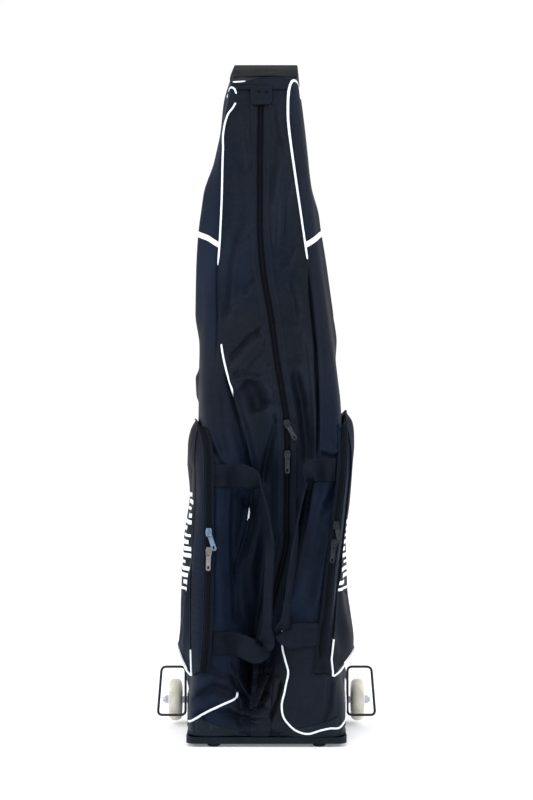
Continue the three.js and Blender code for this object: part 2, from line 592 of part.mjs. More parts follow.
// ---- handles: two webbing loops over the zip, and a flat grab strap on the top end ----
const upright = V(0, 0, 1);
const sewn = (x, z) => frontPoint(x, z, "shoulderLeft", "shoulderRight").add(V(0, -6, 0));
const HANDLE_FRAMES = {
  left: [
    [sewn(-59, 460), upright, 40, 2.4], [V(-42, -84, 460), upright, 40, 2.4],
    [V(-11, -97, 447), V(-0.45, -0.35, 0.8), 38, 2.4], [V(2, -106, 414), V(-0.3, -0.9, 0.3), 30, 3],
    [V(6, -112, 372), V(0.1, -1, 0), 24, 5], [V(5, -118, 330), V(0.75, -0.66, 0), 22, 6],
    [V(3, -121, 265), V(0.77, -0.64, 0), 22, 6], [V(1, -121, 205), V(0.77, -0.64, 0), 22, 6],
    [V(-1, -119, 178), V(0.7, -0.3, 0.6), 32, 3], [V(-16, -115, 162), V(0.28, 0, 0.96), 40, 2.4],
    [V(-40, -101, 169), V(0.15, 0, 0.98), 40, 2.4], [sewn(-59, 173), upright, 40, 2.4],
  ],
  right: [
    [sewn(89, 470), upright, 40, 2.4], [V(76, -86, 468), V(0.05, -0.05, 1), 40, 2.4],
    [V(61, -94, 444), V(0.5, -0.4, 0.75), 36, 2.4], [V(55, -102, 402), V(0.2, -0.95, 0.1), 28, 3],
    [V(50, -110, 352), V(-0.3, -0.95, 0), 24, 5], [V(43, -116, 300), V(-0.5, -0.86, 0), 22, 6],
    [V(36, -119, 250), V(-0.5, -0.86, 0), 22, 6], [V(32, -120, 218), V(-0.5, -0.8, 0.3), 26, 4],
    [V(29, -119, 198), V(-0.2, -0.1, 0.95), 36, 3], [V(40, -114, 189), upright, 42, 2.4],
    [sewn(62, 189), upright, 42, 2.4],
  ],
};
function makeHandles() {
  for (const side of ["left", "right"]) add(`handle_${side}`, ribbon(HANDLE_FRAMES[side], 36), webbing);
  const normal = V(0, -TOP.slope, 1).normalize();
  const middle = V(-1, TOP.y + 36, TOP.z + 36 * TOP.slope);
  const rise = [6, 8, 11, 12, 11, 8, 6];
  const frames = rise.map((height, n) => {
    const x = THREE.MathUtils.lerp(-54, 51, n / (rise.length - 1));
    return [middle.clone().add(V(x, 0, 0)).addScaledVector(normal, height), V(0, 1, TOP.slope), 38, 2.4];
  });
  add("grab_handle", ribbon(frames, 16), webbing);
}

// A reflective band across the front part of each side panel, high up, falling towards the piping.
const BAND = { outerZ: 888, innerZ: 862, width: 10, low: 1, high: 1.9 };

function makeBand(side, outer, inner) {
  const rows = [-0.5, 0.5].map((k) => {
    const row = [];
    for (let n = 0; n <= 8; n++) {
      const z = THREE.MathUtils.lerp(BAND.outerZ, BAND.innerZ, n / 8) + k * BAND.width;
      row.push(shellPoint(THREE.MathUtils.lerp(outer, inner, n / 8), z));
    }
    return row;
  });
  const faces = [BAND.high, BAND.low].map((height) => offsetRows(rows, height, towardsOutside));
  add(`reflective_band_${side}`, sheet(...faces), white);
}

// The tab that covers the upper end of the main zip, sewn along its top edge.
const TAB = { top: 1148, length: 34, halfWidth: 18, x: -8, stand: 4.5 };

function makeZipTab() {
  const shape = new THREE.Shape();
  const { halfWidth: w, length } = TAB;
  shape.moveTo(-w, 0).lineTo(-w, -length + 8).absarc(-w + 8, -length + 8, 8, Math.PI, 1.5 * Math.PI);
  shape.lineTo(w - 8, -length).absarc(w - 8, -length + 8, 8, 1.5 * Math.PI, 2 * Math.PI).lineTo(w, 0);
  const tab = add("zip_tab", extrude(shape, CLOTH, 3).rotateX(Math.PI / 2), black);
  const at = mainZip.at(TAB.top);
  tab.position.set(TAB.x, at.y - TAB.stand, TAB.top);
  tab.rotation.x = -Math.atan((mainZip.at(TAB.top).y - mainZip.at(1100).y) / (TAB.top - 1100));
}

// ---- wheels, axles, brackets and guard hoops ----
function hexPrism(acrossFlats, x0, x1) {
  return cylinder(acrossFlats / Math.sqrt(3), x0, x1, 6);
}

function makeWheel(side, sign) {
  const wheel = new THREE.Group();
  wheel.position.set(sign * WHEEL.x, WHEEL.y, WHEEL.z);
  bag.add(wheel);
  const half = WHEEL.width / 2;
  const tread = [];
  for (let n = 0; n <= 8; n++) {
    const a = (n / 8 - 0.5) * Math.PI;
    tread.push([half * Math.sin(a), 27 + (WHEEL.radius - 27) * Math.pow(Math.cos(a) + 1e-9, 0.75)]);
  }
  const inner = WHEEL.hubRadius + GAP;
  const tyre = [[-half + 1, inner], ...tread, [half - 1, inner], [-half + 1, inner]];
  add(`tyre_${side}`, turned(tyre), urethane, wheel);
  const hub = WHEEL.hubWidth / 2;
  const seat = BEARING.radius + 0.15;
  const rib = hub - BEARING.width - 0.4;
  const hubProfile = [[-hub, seat], [-hub, WHEEL.hubRadius], [hub, WHEEL.hubRadius], [hub, seat], [rib, seat],
    [rib, 9], [-rib, 9], [-rib, seat], [-hub, seat]];
  add(`hub_${side}`, turned(hubProfile), hubRed, wheel);
  for (const [place, s] of [["inner", -sign], ["outer", sign]]) {
    const x0 = s * (rib + 0.2);
    const x1 = s * (rib + 0.2 + BEARING.width);
    const ring = [[x0, BEARING.bore], [x0, BEARING.radius], [x1, BEARING.radius], [x1, BEARING.bore],
      [x0, BEARING.bore]];
    add(`bearing_${place}_${side}`, turned(ring, 24), zinc, wheel);
  }
}

function makeAxle(side, sign) {
  const axle = new THREE.Group();
  axle.position.set(0, WHEEL.y, WHEEL.z);
  axle.scale.x = sign;
  bag.add(axle);
  const head = toSolid(hexPrism(AXLE.acrossFlats, BRACKET.inner - AXLE.headLength - GAP, BRACKET.inner - GAP));
  const shank = toSolid(cylinder(AXLE.radius, BRACKET.inner - 2, AXLE.shankEnd, 24));
  add(`axle_bolt_${side}`, toGeometry(head.add(shank)), zinc, axle);
  const outerFace = WHEEL.x + WHEEL.hubWidth / 2;
  const innerFace = WHEEL.x - WHEEL.hubWidth / 2;
  const ring = (x0, x1, r0, r1) => turned([[x0, r0], [x0, r1], [x1, r1], [x1, r0], [x0, r0]], 24);
  add(`spacer_${side}`, ring(BRACKET.inner + BRACKET.thickness + GAP, innerFace - GAP, 4.15, 6.5), zinc, axle);
  add(`washer_${side}`, ring(outerFace + GAP, outerFace + GAP + 1.6, 4.15, 8), zinc, axle);
  const nutFace = outerFace + 2 * GAP + 1.6;
  const dome = turned([[nutFace + 6, 0], [nutFace + 6, 5.6], [nutFace + 9, 5], [nutFace + 11, 3.2], [nutFace + 12, 0]], 20);
  const bore = toSolid(cylinder(AXLE.radius + 0.15, nutFace - 1, AXLE.shankEnd + 1, 24));
  const nut = toSolid(hexPrism(AXLE.acrossFlats, nutFace, nutFace + 6.5)).add(toSolid(dome)).subtract(bore);
  add(`axle_nut_${side}`, toGeometry(nut), zinc, axle);
}

function makeBracket(side, sign) {
  const { inner, thickness, front, back, bottom, top, flange } = BRACKET;
  const under = TRAY.bottom - GAP;
  const profile = new THREE.Shape();
  profile.moveTo(inner - flange, bottom).lineTo(inner + thickness, bottom).lineTo(inner + thickness, top);
  profile.lineTo(inner, top).lineTo(inner, under).lineTo(inner - flange, under).closePath();
  const angle = extrude(profile, back - front).rotateX(Math.PI / 2).translate(0, back, 0);
  const hole = cylinder(AXLE.radius + 0.25, inner - 5, inner + 10, 24).translate(0, WHEEL.y, WHEEL.z);
  const rearCut = new THREE.BoxGeometry(flange, 40, 6).translate(inner - flange / 2 - 0.1, TRAY.back + 20, 4);
  const footCut = new THREE.BoxGeometry(10, 60, 6).translate(inner - flange - 4, FOOT.rearY, 4);
  const solid = toSolid(angle).subtract(toSolid(hole)).subtract(toSolid(rearCut)).subtract(toSolid(footCut));
  const mesh = add(`axle_bracket_${side}`, toGeometry(solid), paintedSteel);
  mesh.scale.x = sign;
}

function makeHoop(side, sign) {
  const { y, rod, inner, outerTop, outerBottom, bottom, top, bend } = HOOP;
  const corners = [V(inner, y, bottom), V(outerBottom, y, bottom), V(outerTop, y, top), V(inner, y, top)];
  const path = new THREE.CurvePath();
  const ends = corners.map((corner, n) => {
    const towards = (other) => corner.clone().add(other.clone().sub(corner).setLength(bend));
    return [towards(corners[(n + 3) % 4]), corner, towards(corners[(n + 1) % 4])];
  });
  ends.forEach(([from, corner, to], n) => {
    path.add(new THREE.QuadraticBezierCurve3(from, corner, to));
    path.add(new THREE.LineCurve3(to, ends[(n + 1) % 4][0]));
  });
  const centres = [];
  for (const curve of path.curves) {
    const steps = curve.isLineCurve3 ? 1 : 4;
    for (let n = 0; n < steps; n++) centres.push(curve.getPoint(n / steps));
  }
  const sides = 8;
  const rings = centres.map((centre, n) => {
    const ahead = centres[(n + 1) % centres.length].clone().sub(centres[(n + centres.length - 1) % centres.length]);
    const flat = V(0, 1, 0).cross(ahead).normalize();
    return Array.from({ length: sides }, (_, k) => {
      const a = (k / sides) * 2 * Math.PI;
      return centre.clone().addScaledVector(flat, rod * Math.cos(a)).add(V(0, rod * Math.sin(a), 0));
    });
  });
  const index = [];
  rings.forEach((_, r) => {
    const next = ((r + 1) % rings.length) * sides;
    for (let k = 0; k < sides; k++) {
      const l = (k + 1) % sides;
      index.push(r * sides + k, r * sides + l, next + l, r * sides + k, next + l, next + k);
    }
  });
  const geometry = new THREE.BufferGeometry();
  const positions = rings.flat().flatMap((p) => [p.x, p.y, p.z]);
  geometry.setAttribute("position", new THREE.Float32BufferAttribute(positions, 3));
  geometry.setIndex(index);
  const mesh = add(`guard_hoop_${side}`, toSolid(geometry).volume() < 0 ? flipped(geometry) : geometry, paintedSteel);
  mesh.scale.x = sign;
}

makeBase();
makeBack();
makeShell();
makeTopEnd();
makeMainZip();
makeSliders();
for (const side of ["left", "right"]) makePocket(side);
makePiping("left", "pipingLeft", [
  [-131, 38, "sideLeft", "shoulderLeft"], [-112, 52, "shoulderLeft", "pipingLeft"],
  [-90, 62, "shoulderLeft", "pipingLeft"], [-66, 76, "shoulderLeft", "pipingLeft"],
]);
makePiping("right", "pipingRight", [
  [131, 36, "shoulderRight", "sideRight"], [116, 31, "pipingRight", "shoulderRight"],
  [90, 30, "pipingRight", "shoulderRight"], [68, 27, "pipingRight", "shoulderRight"],
  [50, 32, "pipingRight", "shoulderRight"], [36, 48, "pipingRight", "shoulderRight"],
]);
makeHandles();
makeBand("left", SEAM_NAMES.indexOf("sideLeft"), SEAM_NAMES.indexOf("pipingLeft") - 0.15);
makeBand("right", SEAM_NAMES.indexOf("sideRight"), SEAM_NAMES.indexOf("pipingRight") + 0.15);
makeZipTab();
for (const [side, sign] of [["left", -1], ["right", 1]]) {
  makeWheel(side, sign);
  makeAxle(side, sign);
  makeBracket(side, sign);
  makeHoop(side, sign);
}

export default bag;
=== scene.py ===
"""Looks for the wheeled fencing bag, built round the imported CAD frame.

Lengths below are in millimetres, but a comment
says so where they are in metres."""
import math

import bpy
import numpy as np
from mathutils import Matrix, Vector

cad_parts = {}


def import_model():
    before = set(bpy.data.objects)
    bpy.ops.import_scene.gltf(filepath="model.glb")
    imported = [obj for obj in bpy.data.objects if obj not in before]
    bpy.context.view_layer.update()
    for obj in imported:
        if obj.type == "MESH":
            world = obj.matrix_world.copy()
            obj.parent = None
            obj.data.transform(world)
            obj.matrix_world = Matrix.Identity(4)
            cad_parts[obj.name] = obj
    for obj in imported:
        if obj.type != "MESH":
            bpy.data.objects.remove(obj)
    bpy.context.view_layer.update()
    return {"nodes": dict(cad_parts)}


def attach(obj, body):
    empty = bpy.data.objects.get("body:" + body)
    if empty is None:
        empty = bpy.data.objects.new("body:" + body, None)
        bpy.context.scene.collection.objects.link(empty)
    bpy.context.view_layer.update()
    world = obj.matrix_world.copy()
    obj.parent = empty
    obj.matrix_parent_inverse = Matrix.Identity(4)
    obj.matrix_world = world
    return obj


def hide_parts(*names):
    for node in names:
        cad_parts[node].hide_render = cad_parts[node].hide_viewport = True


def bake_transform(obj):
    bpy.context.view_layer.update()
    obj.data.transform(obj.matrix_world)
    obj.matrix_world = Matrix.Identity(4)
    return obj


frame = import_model()
MM = 0.001
CENTRE_Y = -9.0  # the CAD's shift of the bag onto the middle of its box
SHELL_BOTTOM = 18.3
TOP_Z, TOP_Y, TOP_SLOPE, TAPER_FROM = 1152.0, 28.0, 45 / 74, 1100.0
ROOT = "bag"

# ---------------------------------------------------------------- meshes


def world(points):
    """Bag millimetres to frame metres."""
    return (np.asarray(points, float) + (0, CENTRE_Y, 0)) * MM


def mesh_piece(name, points, faces, mat, body=ROOT, slot=None, uv=None, smooth=True):
    mesh = bpy.data.meshes.new(name)
    mesh.from_pydata(world(points).tolist(), [], faces)
    mesh.validate()
    if smooth:
        mesh.shade_smooth()
    if uv is not None:
        layer = mesh.uv_layers.new(name="flat")
        loops = np.empty(len(mesh.loops), dtype=np.int32)
        mesh.loops.foreach_get("vertex_index", loops)
        layer.data.foreach_set("uv", np.asarray(uv, np.float32)[loops].ravel())
    piece = bpy.data.objects.new(name, mesh)
    bpy.context.scene.collection.objects.link(piece)
    mesh.materials.append(mat)
    if body:
        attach(piece, body)
    return piece


def grid_uv(rows):
    """Real lengths in metres along both ways of a grid, measured down its middle."""
    u = run_length(rows[len(rows) // 2]) * MM
    v = run_length(rows[:, rows.shape[1] // 2]) * MM
    return np.stack(np.meshgrid(u, v), axis=-1).reshape(-1, 2)


def grid_faces(n_rows, n_cols, start=0, flip=False):
    faces = []
    for j in range(n_rows - 1):
        for i in range(n_cols - 1):
            a = start + j * n_cols + i
            quad = (a, a + 1, a + 1 + n_cols, a + n_cols)
            faces.append(quad[::-1] if flip else quad)
    return faces


def grid_normals(rows):
    u = np.gradient(rows, axis=1)
    v = np.gradient(rows, axis=0)
    n = np.cross(u, v)
    return n / np.maximum(np.linalg.norm(n, axis=2, keepdims=True), 1e-9)


def sheet_parts(rows, thickness, inward=None):
    """Points, faces and lengths of a closed sheet. rows is its outer face, and inward the way in from there."""
    rows = np.asarray(rows, float)
    n_rows, n_cols = rows.shape[:2]
    back = -grid_normals(rows) if inward is None else np.asarray(inward, float)
    inner = rows + back * thickness
    count = n_rows * n_cols
    faces = grid_faces(n_rows, n_cols) + grid_faces(n_rows, n_cols, count, flip=True)
    for i in range(n_cols - 1):
        top = (n_rows - 1) * n_cols + i
        faces.append((i, i + count, i + 1 + count, i + 1))
        faces.append((top, top + 1, top + 1 + count, top + count))
    for j in range(n_rows - 1):
        left = j * n_cols
        right = left + n_cols - 1
        faces.append((left, left + n_cols, left + n_cols + count, left + count))
        faces.append((right, right + count, right + n_cols + count, right + n_cols))
    uv = grid_uv(rows)
    return np.concatenate([rows.reshape(-1, 3), inner.reshape(-1, 3)]), faces, np.concatenate([uv, uv])


def sheet(name, rows, thickness, mat, inward=None, **kw):
    points, faces, uv = sheet_parts(rows, thickness, inward)
    return mesh_piece(name, points, faces, mat, uv=uv, **kw)


def sheets(name, grids, thickness, mat, **kw):
    """Several closed sheets as one piece."""
    points, faces, lengths = [], [], []
    for rows in grids:
        more, quads, uv = sheet_parts(rows, thickness)
        start = sum(len(p) for p in points)
        faces += [tuple(start + k for k in quad) for quad in quads]
        points.append(more)
        lengths.append(uv)
    return mesh_piece(name, np.concatenate(points), faces, mat, uv=np.concatenate(lengths), **kw)


def smooth_path(points, steps):
    """Centripetal Catmull-Rom curve through points, sampled evenly by its parameter."""
    p = np.asarray(points, float)
    p = np.vstack([2 * p[0] - p[1], p, 2 * p[-1] - p[-2]])
    t = np.linspace(0, len(points) - 1, steps)
    i = np.minimum(t.astype(int), len(points) - 2)
    return catmull(p[i], p[i + 1], p[i + 2], p[i + 3], (t - i)[:, None])


def catmull(a, b, c, d, t):
    def knot(p, q):
        return np.maximum(np.linalg.norm(q - p, axis=-1, keepdims=True), 1e-6) ** 0.5

    k0, k1, k2 = knot(a, b), knot(b, c), knot(c, d)
    m1 = ((b - a) / k0 - (c - a) / (k0 + k1) + (c - b) / k1) * k1
    m2 = ((c - b) / k1 - (d - b) / (k1 + k2) + (d - c) / k2) * k1
    return b + m1 * t + (3 * (c - b) - 2 * m1 - m2) * t**2 + (2 * (b - c) + m1 + m2) * t**3


def path_frames(path, hint=(0, 1, 0), closed=False):
    if closed:
        ahead = np.roll(path, -1, axis=0) - np.roll(path, 1, axis=0)
    else:
        ahead = np.gradient(path, axis=0)
    ahead /= np.linalg.norm(ahead, axis=1, keepdims=True)
    hint = np.asarray(hint, float)
    one = hint - ahead * (ahead @ hint)[:, None]
    one /= np.linalg.norm(one, axis=1, keepdims=True)
    return ahead, one, np.cross(ahead, one)


def ring_faces(rings, sides, closed=False):
    """Faces between neighbouring rings of points, with a cap at both ends unless the rings close."""
    faces = []
    for r in range(rings if closed else rings - 1):
        this, after = r * sides, (r + 1) % rings * sides
        for k in range(sides):
            beside = (k + 1) % sides
            faces.append((this + k, this + beside, after + beside, after + k))
    if not closed:
        faces.append(tuple(range(sides))[::-1])
        faces.append(tuple(range((rings - 1) * sides, rings * sides)))
    return faces


def run_length(path):
    """Distance along a path at each of its points."""
    return np.concatenate([[0], np.cumsum(np.linalg.norm(np.diff(path, axis=0), axis=1))])


def tube(name, path, radius, mat, sides=12, hint=(0, 1, 0), closed=False, **kw):
    path = np.asarray(path, float)
    _, one, two = path_frames(path, hint, closed)
    turn = np.linspace(0, 2 * math.pi, sides, endpoint=False)
    radii = np.broadcast_to(radius, len(path))[:, None, None]
    circles = one[:, None] * np.cos(turn)[:, None] + two[:, None] * np.sin(turn)[:, None]
    rings = path[:, None] + radii * circles
    uv = [(k * 0.002, s) for s in run_length(path) * MM for k in range(sides)]
    faces = ring_faces(len(path), sides, closed)
    return mesh_piece(name, rings.reshape(-1, 3), faces, mat, uv=uv, **kw)


def ribbon(name, frames, mat, steps=160, **kw):
    """A strap with rounded edges. frames are [centre, direction of its width, width, thickness]."""
    centres = smooth_path([f[0] for f in frames], steps)
    t = np.linspace(0, len(frames) - 1, steps)
    knots = np.arange(len(frames))
    wide = np.stack([np.interp(t, knots, [f[1][k] for f in frames]) for k in range(3)], axis=1)
    width = np.interp(t, knots, [f[2] for f in frames])
    thick = np.interp(t, knots, [f[3] for f in frames])
    ahead = np.gradient(centres, axis=0)
    ahead /= np.linalg.norm(ahead, axis=1, keepdims=True)
    wide -= ahead * np.sum(wide * ahead, axis=1, keepdims=True)
    wide /= np.linalg.norm(wide, axis=1, keepdims=True)
    out = np.cross(ahead, wide)
    across = np.array([-1, -0.97, -0.85, -0.6, -0.3, 0, 0.3, 0.6, 0.85, 0.97, 1])
    half = np.array([0.25, 0.75, 1, 1, 1, 1, 1, 1, 1, 0.75, 0.25])
    profile = list(zip(across, half)) + list(zip(across[::-1], -half[::-1]))
    rings = [
        centres + wide * (a * width / 2)[:, None] + out * (b * thick / 2)[:, None]
        for a, b in profile
    ]
    rings = np.stack(rings, axis=1)
    uv = [(a * w / 2 * MM, s) for s, w in zip(run_length(centres) * MM, width) for a, _ in profile]
    return mesh_piece(name, rings.reshape(-1, 3), ring_faces(steps, len(profile)), mat, uv=uv, **kw)


def turned(name, profile, centre, mat, axis="x", segments=72, closed=True, **kw):
    """A profile of (place along the axis, radius) turned about an axis through centre."""
    profile = np.asarray(profile, float)
    turn = np.linspace(0, 2 * math.pi, segments, endpoint=False)
    along = profile[:, 0][:, None] + 0 * turn
    one = profile[:, 1][:, None] * np.cos(turn)
    two = profile[:, 1][:, None] * np.sin(turn)
    order = {"x": (along, one, two), "y": (two, along, one)}[axis]
    points = np.stack(order, axis=-1) + centre
    faces = ring_faces(len(profile), segments, closed)
    return mesh_piece(name, points.reshape(-1, 3), faces, mat, **kw)


# ---------------------------------------------------------------- materials
# Places of a Mix node's colour sockets, whose names its other sockets share
MIX_COLOUR_A, MIX_COLOUR_B, MIX_COLOUR_RESULT = 6, 7, 2
SHEEN_TINT = (0.62, 0.80, 1.0, 1)


class Nodes:
    """A node tree that is wired up by calls."""

    def __init__(self, name):
        self.material = bpy.data.materials.new(name)
        self.material.use_nodes = True
        self.tree = self.material.node_tree
        self.shader = self.tree.nodes["Principled BSDF"]

    def add(self, kind, **values):
        node = self.tree.nodes.new(kind)
        for key, value in values.items():
            if key in node.inputs:
                self.put(node.inputs[key], value)
            else:
                setattr(node, key, value)
        return node

    def put(self, socket, value):
        if isinstance(value, bpy.types.NodeSocket):
            self.tree.links.new(value, socket)
        else:
            socket.default_value = value

    def math(self, operation, a, b):
        node = self.tree.nodes.new("ShaderNodeMath")
        node.operation = operation
        self.put(node.inputs[0], a)
        self.put(node.inputs[1], b)
        return node.outputs[0]

    def noise(self, scale, detail=3.0, stretch=None):
        vector = self.add("ShaderNodeTexCoord").outputs["Object"]
        if stretch:
            vector = self.add("ShaderNodeMapping", Vector=vector, Scale=stretch).outputs[0]
        return self.add("ShaderNodeTexNoise", Vector=vector, Scale=scale, Detail=detail).outputs["Fac"]

    def stripes(self, per_metre, axis, vector):
        wave = self.add("ShaderNodeTexWave", wave_type="BANDS", bands_direction=axis, Vector=vector)
        wave.inputs["Scale"].default_value = per_metre * math.pi / 10
        return wave.outputs["Fac"]

    def ramp(self, fac, low, high, start=0.3, end=0.7):
        node = self.tree.nodes.new("ShaderNodeValToRGB")
        node.color_ramp.elements[0].position = start
        node.color_ramp.elements[1].position = end
        node.color_ramp.elements[0].color = (*low, 1)
        node.color_ramp.elements[1].color = (*high, 1)
        self.put(node.inputs[0], fac)
        return node.outputs[0]

    def multiply(self, a, b):
        node = self.tree.nodes.new("ShaderNodeMix")
        node.data_type = "RGBA"
        node.blend_type = "MULTIPLY"
        node.inputs["Factor"].default_value = 1.0
        self.put(node.inputs[MIX_COLOUR_A], a)
        self.put(node.inputs[MIX_COLOUR_B], b)
        return node.outputs[MIX_COLOUR_RESULT]

    def span(self, fac, low, high):
        node = self.tree.nodes.new("ShaderNodeMapRange")
        self.put(node.inputs["Value"], fac)
        node.inputs["To Min"].default_value = low
        node.inputs["To Max"].default_value = high
        return node.outputs[0]

    def bump(self, height, strength, distance_mm, normal=None):
        node = self.add("ShaderNodeBump", Height=height, Strength=strength, Distance=distance_mm * MM)
        if normal is not None:
            self.put(node.inputs["Normal"], normal)
        return node.outputs[0]

    def finish(self, **sockets):
        for key, value in sockets.items():
            self.put(self.shader.inputs[key.replace("_", " ")], value)
        return self.material


def cloth(name, low, high, roughness, weave_per_metre, weave_bump, wrinkle=0.2, specular=0.09):
    n = Nodes(name)
    uv = n.add("ShaderNodeTexCoord").outputs["UV"]
    weave = n.math("MULTIPLY", n.stripes(weave_per_metre, "X", uv), n.stripes(weave_per_metre, "Y", uv))
    blotch = n.noise(9, 4)
    fine = n.noise(160, 5)
    colour = n.ramp(n.math("ADD", n.math("MULTIPLY", blotch, 0.6), n.math("MULTIPLY", fine, 0.4)), low, high)
    faded = n.ramp(n.noise(5.5, 2, stretch=(1, 1, 0.6)), (0.86, 1.0, 1.12), (1.22, 0.98, 0.80), 0.42, 0.62)
    normal = n.bump(n.noise(11, 3, stretch=(1, 1, 0.6)), 0.9 * wrinkle, 14.0)
    normal = n.bump(n.noise(34, 5, stretch=(1, 1, 0.55)), wrinkle, 3.0, normal)
    normal = n.bump(weave, weave_bump, 0.35, normal)
    rough = n.span(n.math("ADD", n.math("MULTIPLY", blotch, 0.5), n.math("MULTIPLY", fine, 0.5)), *roughness)
    return n.finish(Base_Color=n.multiply(colour, faded), Roughness=rough, Normal=normal,
                    Specular_IOR_Level=specular, Specular_Tint=SHEEN_TINT)


def webbing_material(name, low, high, specular=0.1):
    n = Nodes(name)
    uv = n.add("ShaderNodeTexCoord").outputs["UV"]
    weave = n.math("MULTIPLY", n.stripes(420, "X", uv), n.stripes(650, "Y", uv))
    mix = n.math("ADD", n.math("MULTIPLY", weave, 0.5), n.math("MULTIPLY", n.noise(60, 4), 0.5))
    normal = n.bump(weave, 0.7, 0.6)
    normal = n.bump(n.noise(400, 3), 0.15, 0.4, normal)
    rough = n.span(n.noise(90, 4), 0.5, 0.8)
    return n.finish(Base_Color=n.ramp(mix, low, high), Roughness=rough, Normal=normal,
                    Specular_IOR_Level=specular, Specular_Tint=SHEEN_TINT)


def plain_material(name, low, high, roughness, metallic=0.0, scale=60, bump=0.1, bump_mm=0.3, specular=0.5):
    n = Nodes(name)
    grime = n.noise(scale, 6)
    speck = n.noise(scale * 9, 3)
    mix = n.math("ADD", n.math("MULTIPLY", grime, 0.65), n.math("MULTIPLY", speck, 0.35))
    return n.finish(Base_Color=n.ramp(mix, low, high), Roughness=n.span(mix, *roughness), Metallic=metallic,
                    Specular_IOR_Level=specular, Normal=n.bump(speck, bump, bump_mm))


NYLON = cloth("nylon", (0.0026, 0.0038, 0.0080), (0.0084, 0.0108, 0.0180), (0.36, 0.54), 900, 0.35, 0.42)
# The back's cloth: its coarser weave is its own, and its colour, lighter than the nylon, is painted light for
# the back that faces away from the lamps.
BACK_CLOTH_LIT = cloth("back_cloth", (0.0050, 0.0068, 0.0110), (0.0150, 0.0185, 0.0280), (0.45, 0.62),
                   420, 0.6, 0.5)
# Painted light: the same nylon as the front, coloured lighter and bluer for the side panels and the bottom hem,
# where the side lamps fall.
NYLON_SIDE_LIT = cloth("nylon_side_lit", (0.0042, 0.0066, 0.0135), (0.0088, 0.0126, 0.0235), (0.42, 0.58),
                   900, 0.3, 0.30,
                   specular=0.05)
POCKET = cloth("pocket_nylon", (0.0034, 0.0050, 0.0100), (0.0074, 0.0100, 0.0180), (0.42, 0.6), 700, 0.4, 0.4,
               specular=0.05)
TAPE = cloth("zip_tape", (0.0014, 0.0020, 0.0038), (0.0046, 0.0058, 0.0095), (0.5, 0.75), 600, 0.6, 0.08)
# Painted light: the top panel's cloth is the nylon, coloured greyer and lighter for the sky light that falls on
# the top face.
TOP_CLOTH_LIT = cloth("top_cloth_lit", (0.0058, 0.0058, 0.0068), (0.0135, 0.0132, 0.0150), (0.45, 0.65),
                  700, 0.4, 0.15)
WEBBING = webbing_material("webbing", (0.0026, 0.0036, 0.0074), (0.0100, 0.0124, 0.0215))
GRAB = webbing_material("grab_webbing", (0.0046, 0.0046, 0.0054), (0.0145, 0.0140, 0.0158))
PIPING = plain_material("piping_white", (0.62, 0.66, 0.74), (0.90, 0.92, 0.97), (0.35, 0.6), scale=90)
REFLECTIVE = plain_material("reflective_tape", (0.66, 0.69, 0.76), (0.92, 0.94, 0.98), (0.25, 0.45),
                            scale=200)
PRINT = plain_material("white_print", (0.66, 0.68, 0.72), (0.92, 0.93, 0.96), (0.5, 0.8), scale=150, bump=0.2)
TRAY = plain_material("tray_plastic", (0.0012, 0.0036, 0.0064), (0.0042, 0.0096, 0.0162), (0.4, 0.6),
                      scale=40,
                      bump=0.25, specular=0.12)
RUBBER = plain_material("foot_rubber", (0.002, 0.003, 0.004), (0.008, 0.009, 0.011), (0.6, 0.85), scale=80,
                        specular=0.15)
STEEL = plain_material("black_rod", (0.003, 0.003, 0.007), (0.012, 0.011, 0.020), (0.25, 0.45), 0.0, 70, 0.1,
                       specular=0.3)
ZINC = plain_material("zinc", (0.30, 0.34, 0.42), (0.62, 0.67, 0.76), (0.22, 0.45), 1.0, 90, 0.12)
ZIP_METAL = plain_material("zip_metal", (0.010, 0.012, 0.016), (0.045, 0.050, 0.062), (0.2, 0.4),
                           0.9, 120, 0.1)
# Painted highlight: the same steel as the lower puller, coloured bright and blue for the highlight on the upper
# puller of the left pocket.
ZIP_METAL_HIGHLIT = plain_material("zip_metal_highlit", (0.08, 0.13, 0.22), (0.30, 0.40, 0.54), (0.15, 0.3),
                            0.95, 120, 0.1)
ZIP_SILVER = plain_material("zip_metal_silver", (0.12, 0.11, 0.11), (0.30, 0.28, 0.27), (0.25, 0.4),
                            0.9, 120, 0.1)
ZIP_PLASTIC = plain_material("zip_teeth", (0.0008, 0.0012, 0.0022), (0.0026, 0.0036, 0.0062), (0.5, 0.7),
                             scale=120,
                             specular=0.06)
URETHANE = plain_material("urethane", (0.52, 0.48, 0.38), (0.78, 0.75, 0.66), (0.3, 0.55),
                          scale=45, bump=0.15)
HUB = plain_material("hub_plastic", (0.20, 0.010, 0.035), (0.42, 0.03, 0.09), (0.35, 0.55), scale=50)
THREAD = plain_material("thread", (0.004, 0.006, 0.011), (0.014, 0.018, 0.028), (0.5, 0.8),
                        scale=500, specular=0.15)
THREAD_PALE = plain_material("thread_pale", (0.010, 0.010, 0.012), (0.030, 0.030, 0.034), (0.5, 0.8),
                             scale=500,
                             specular=0.2)

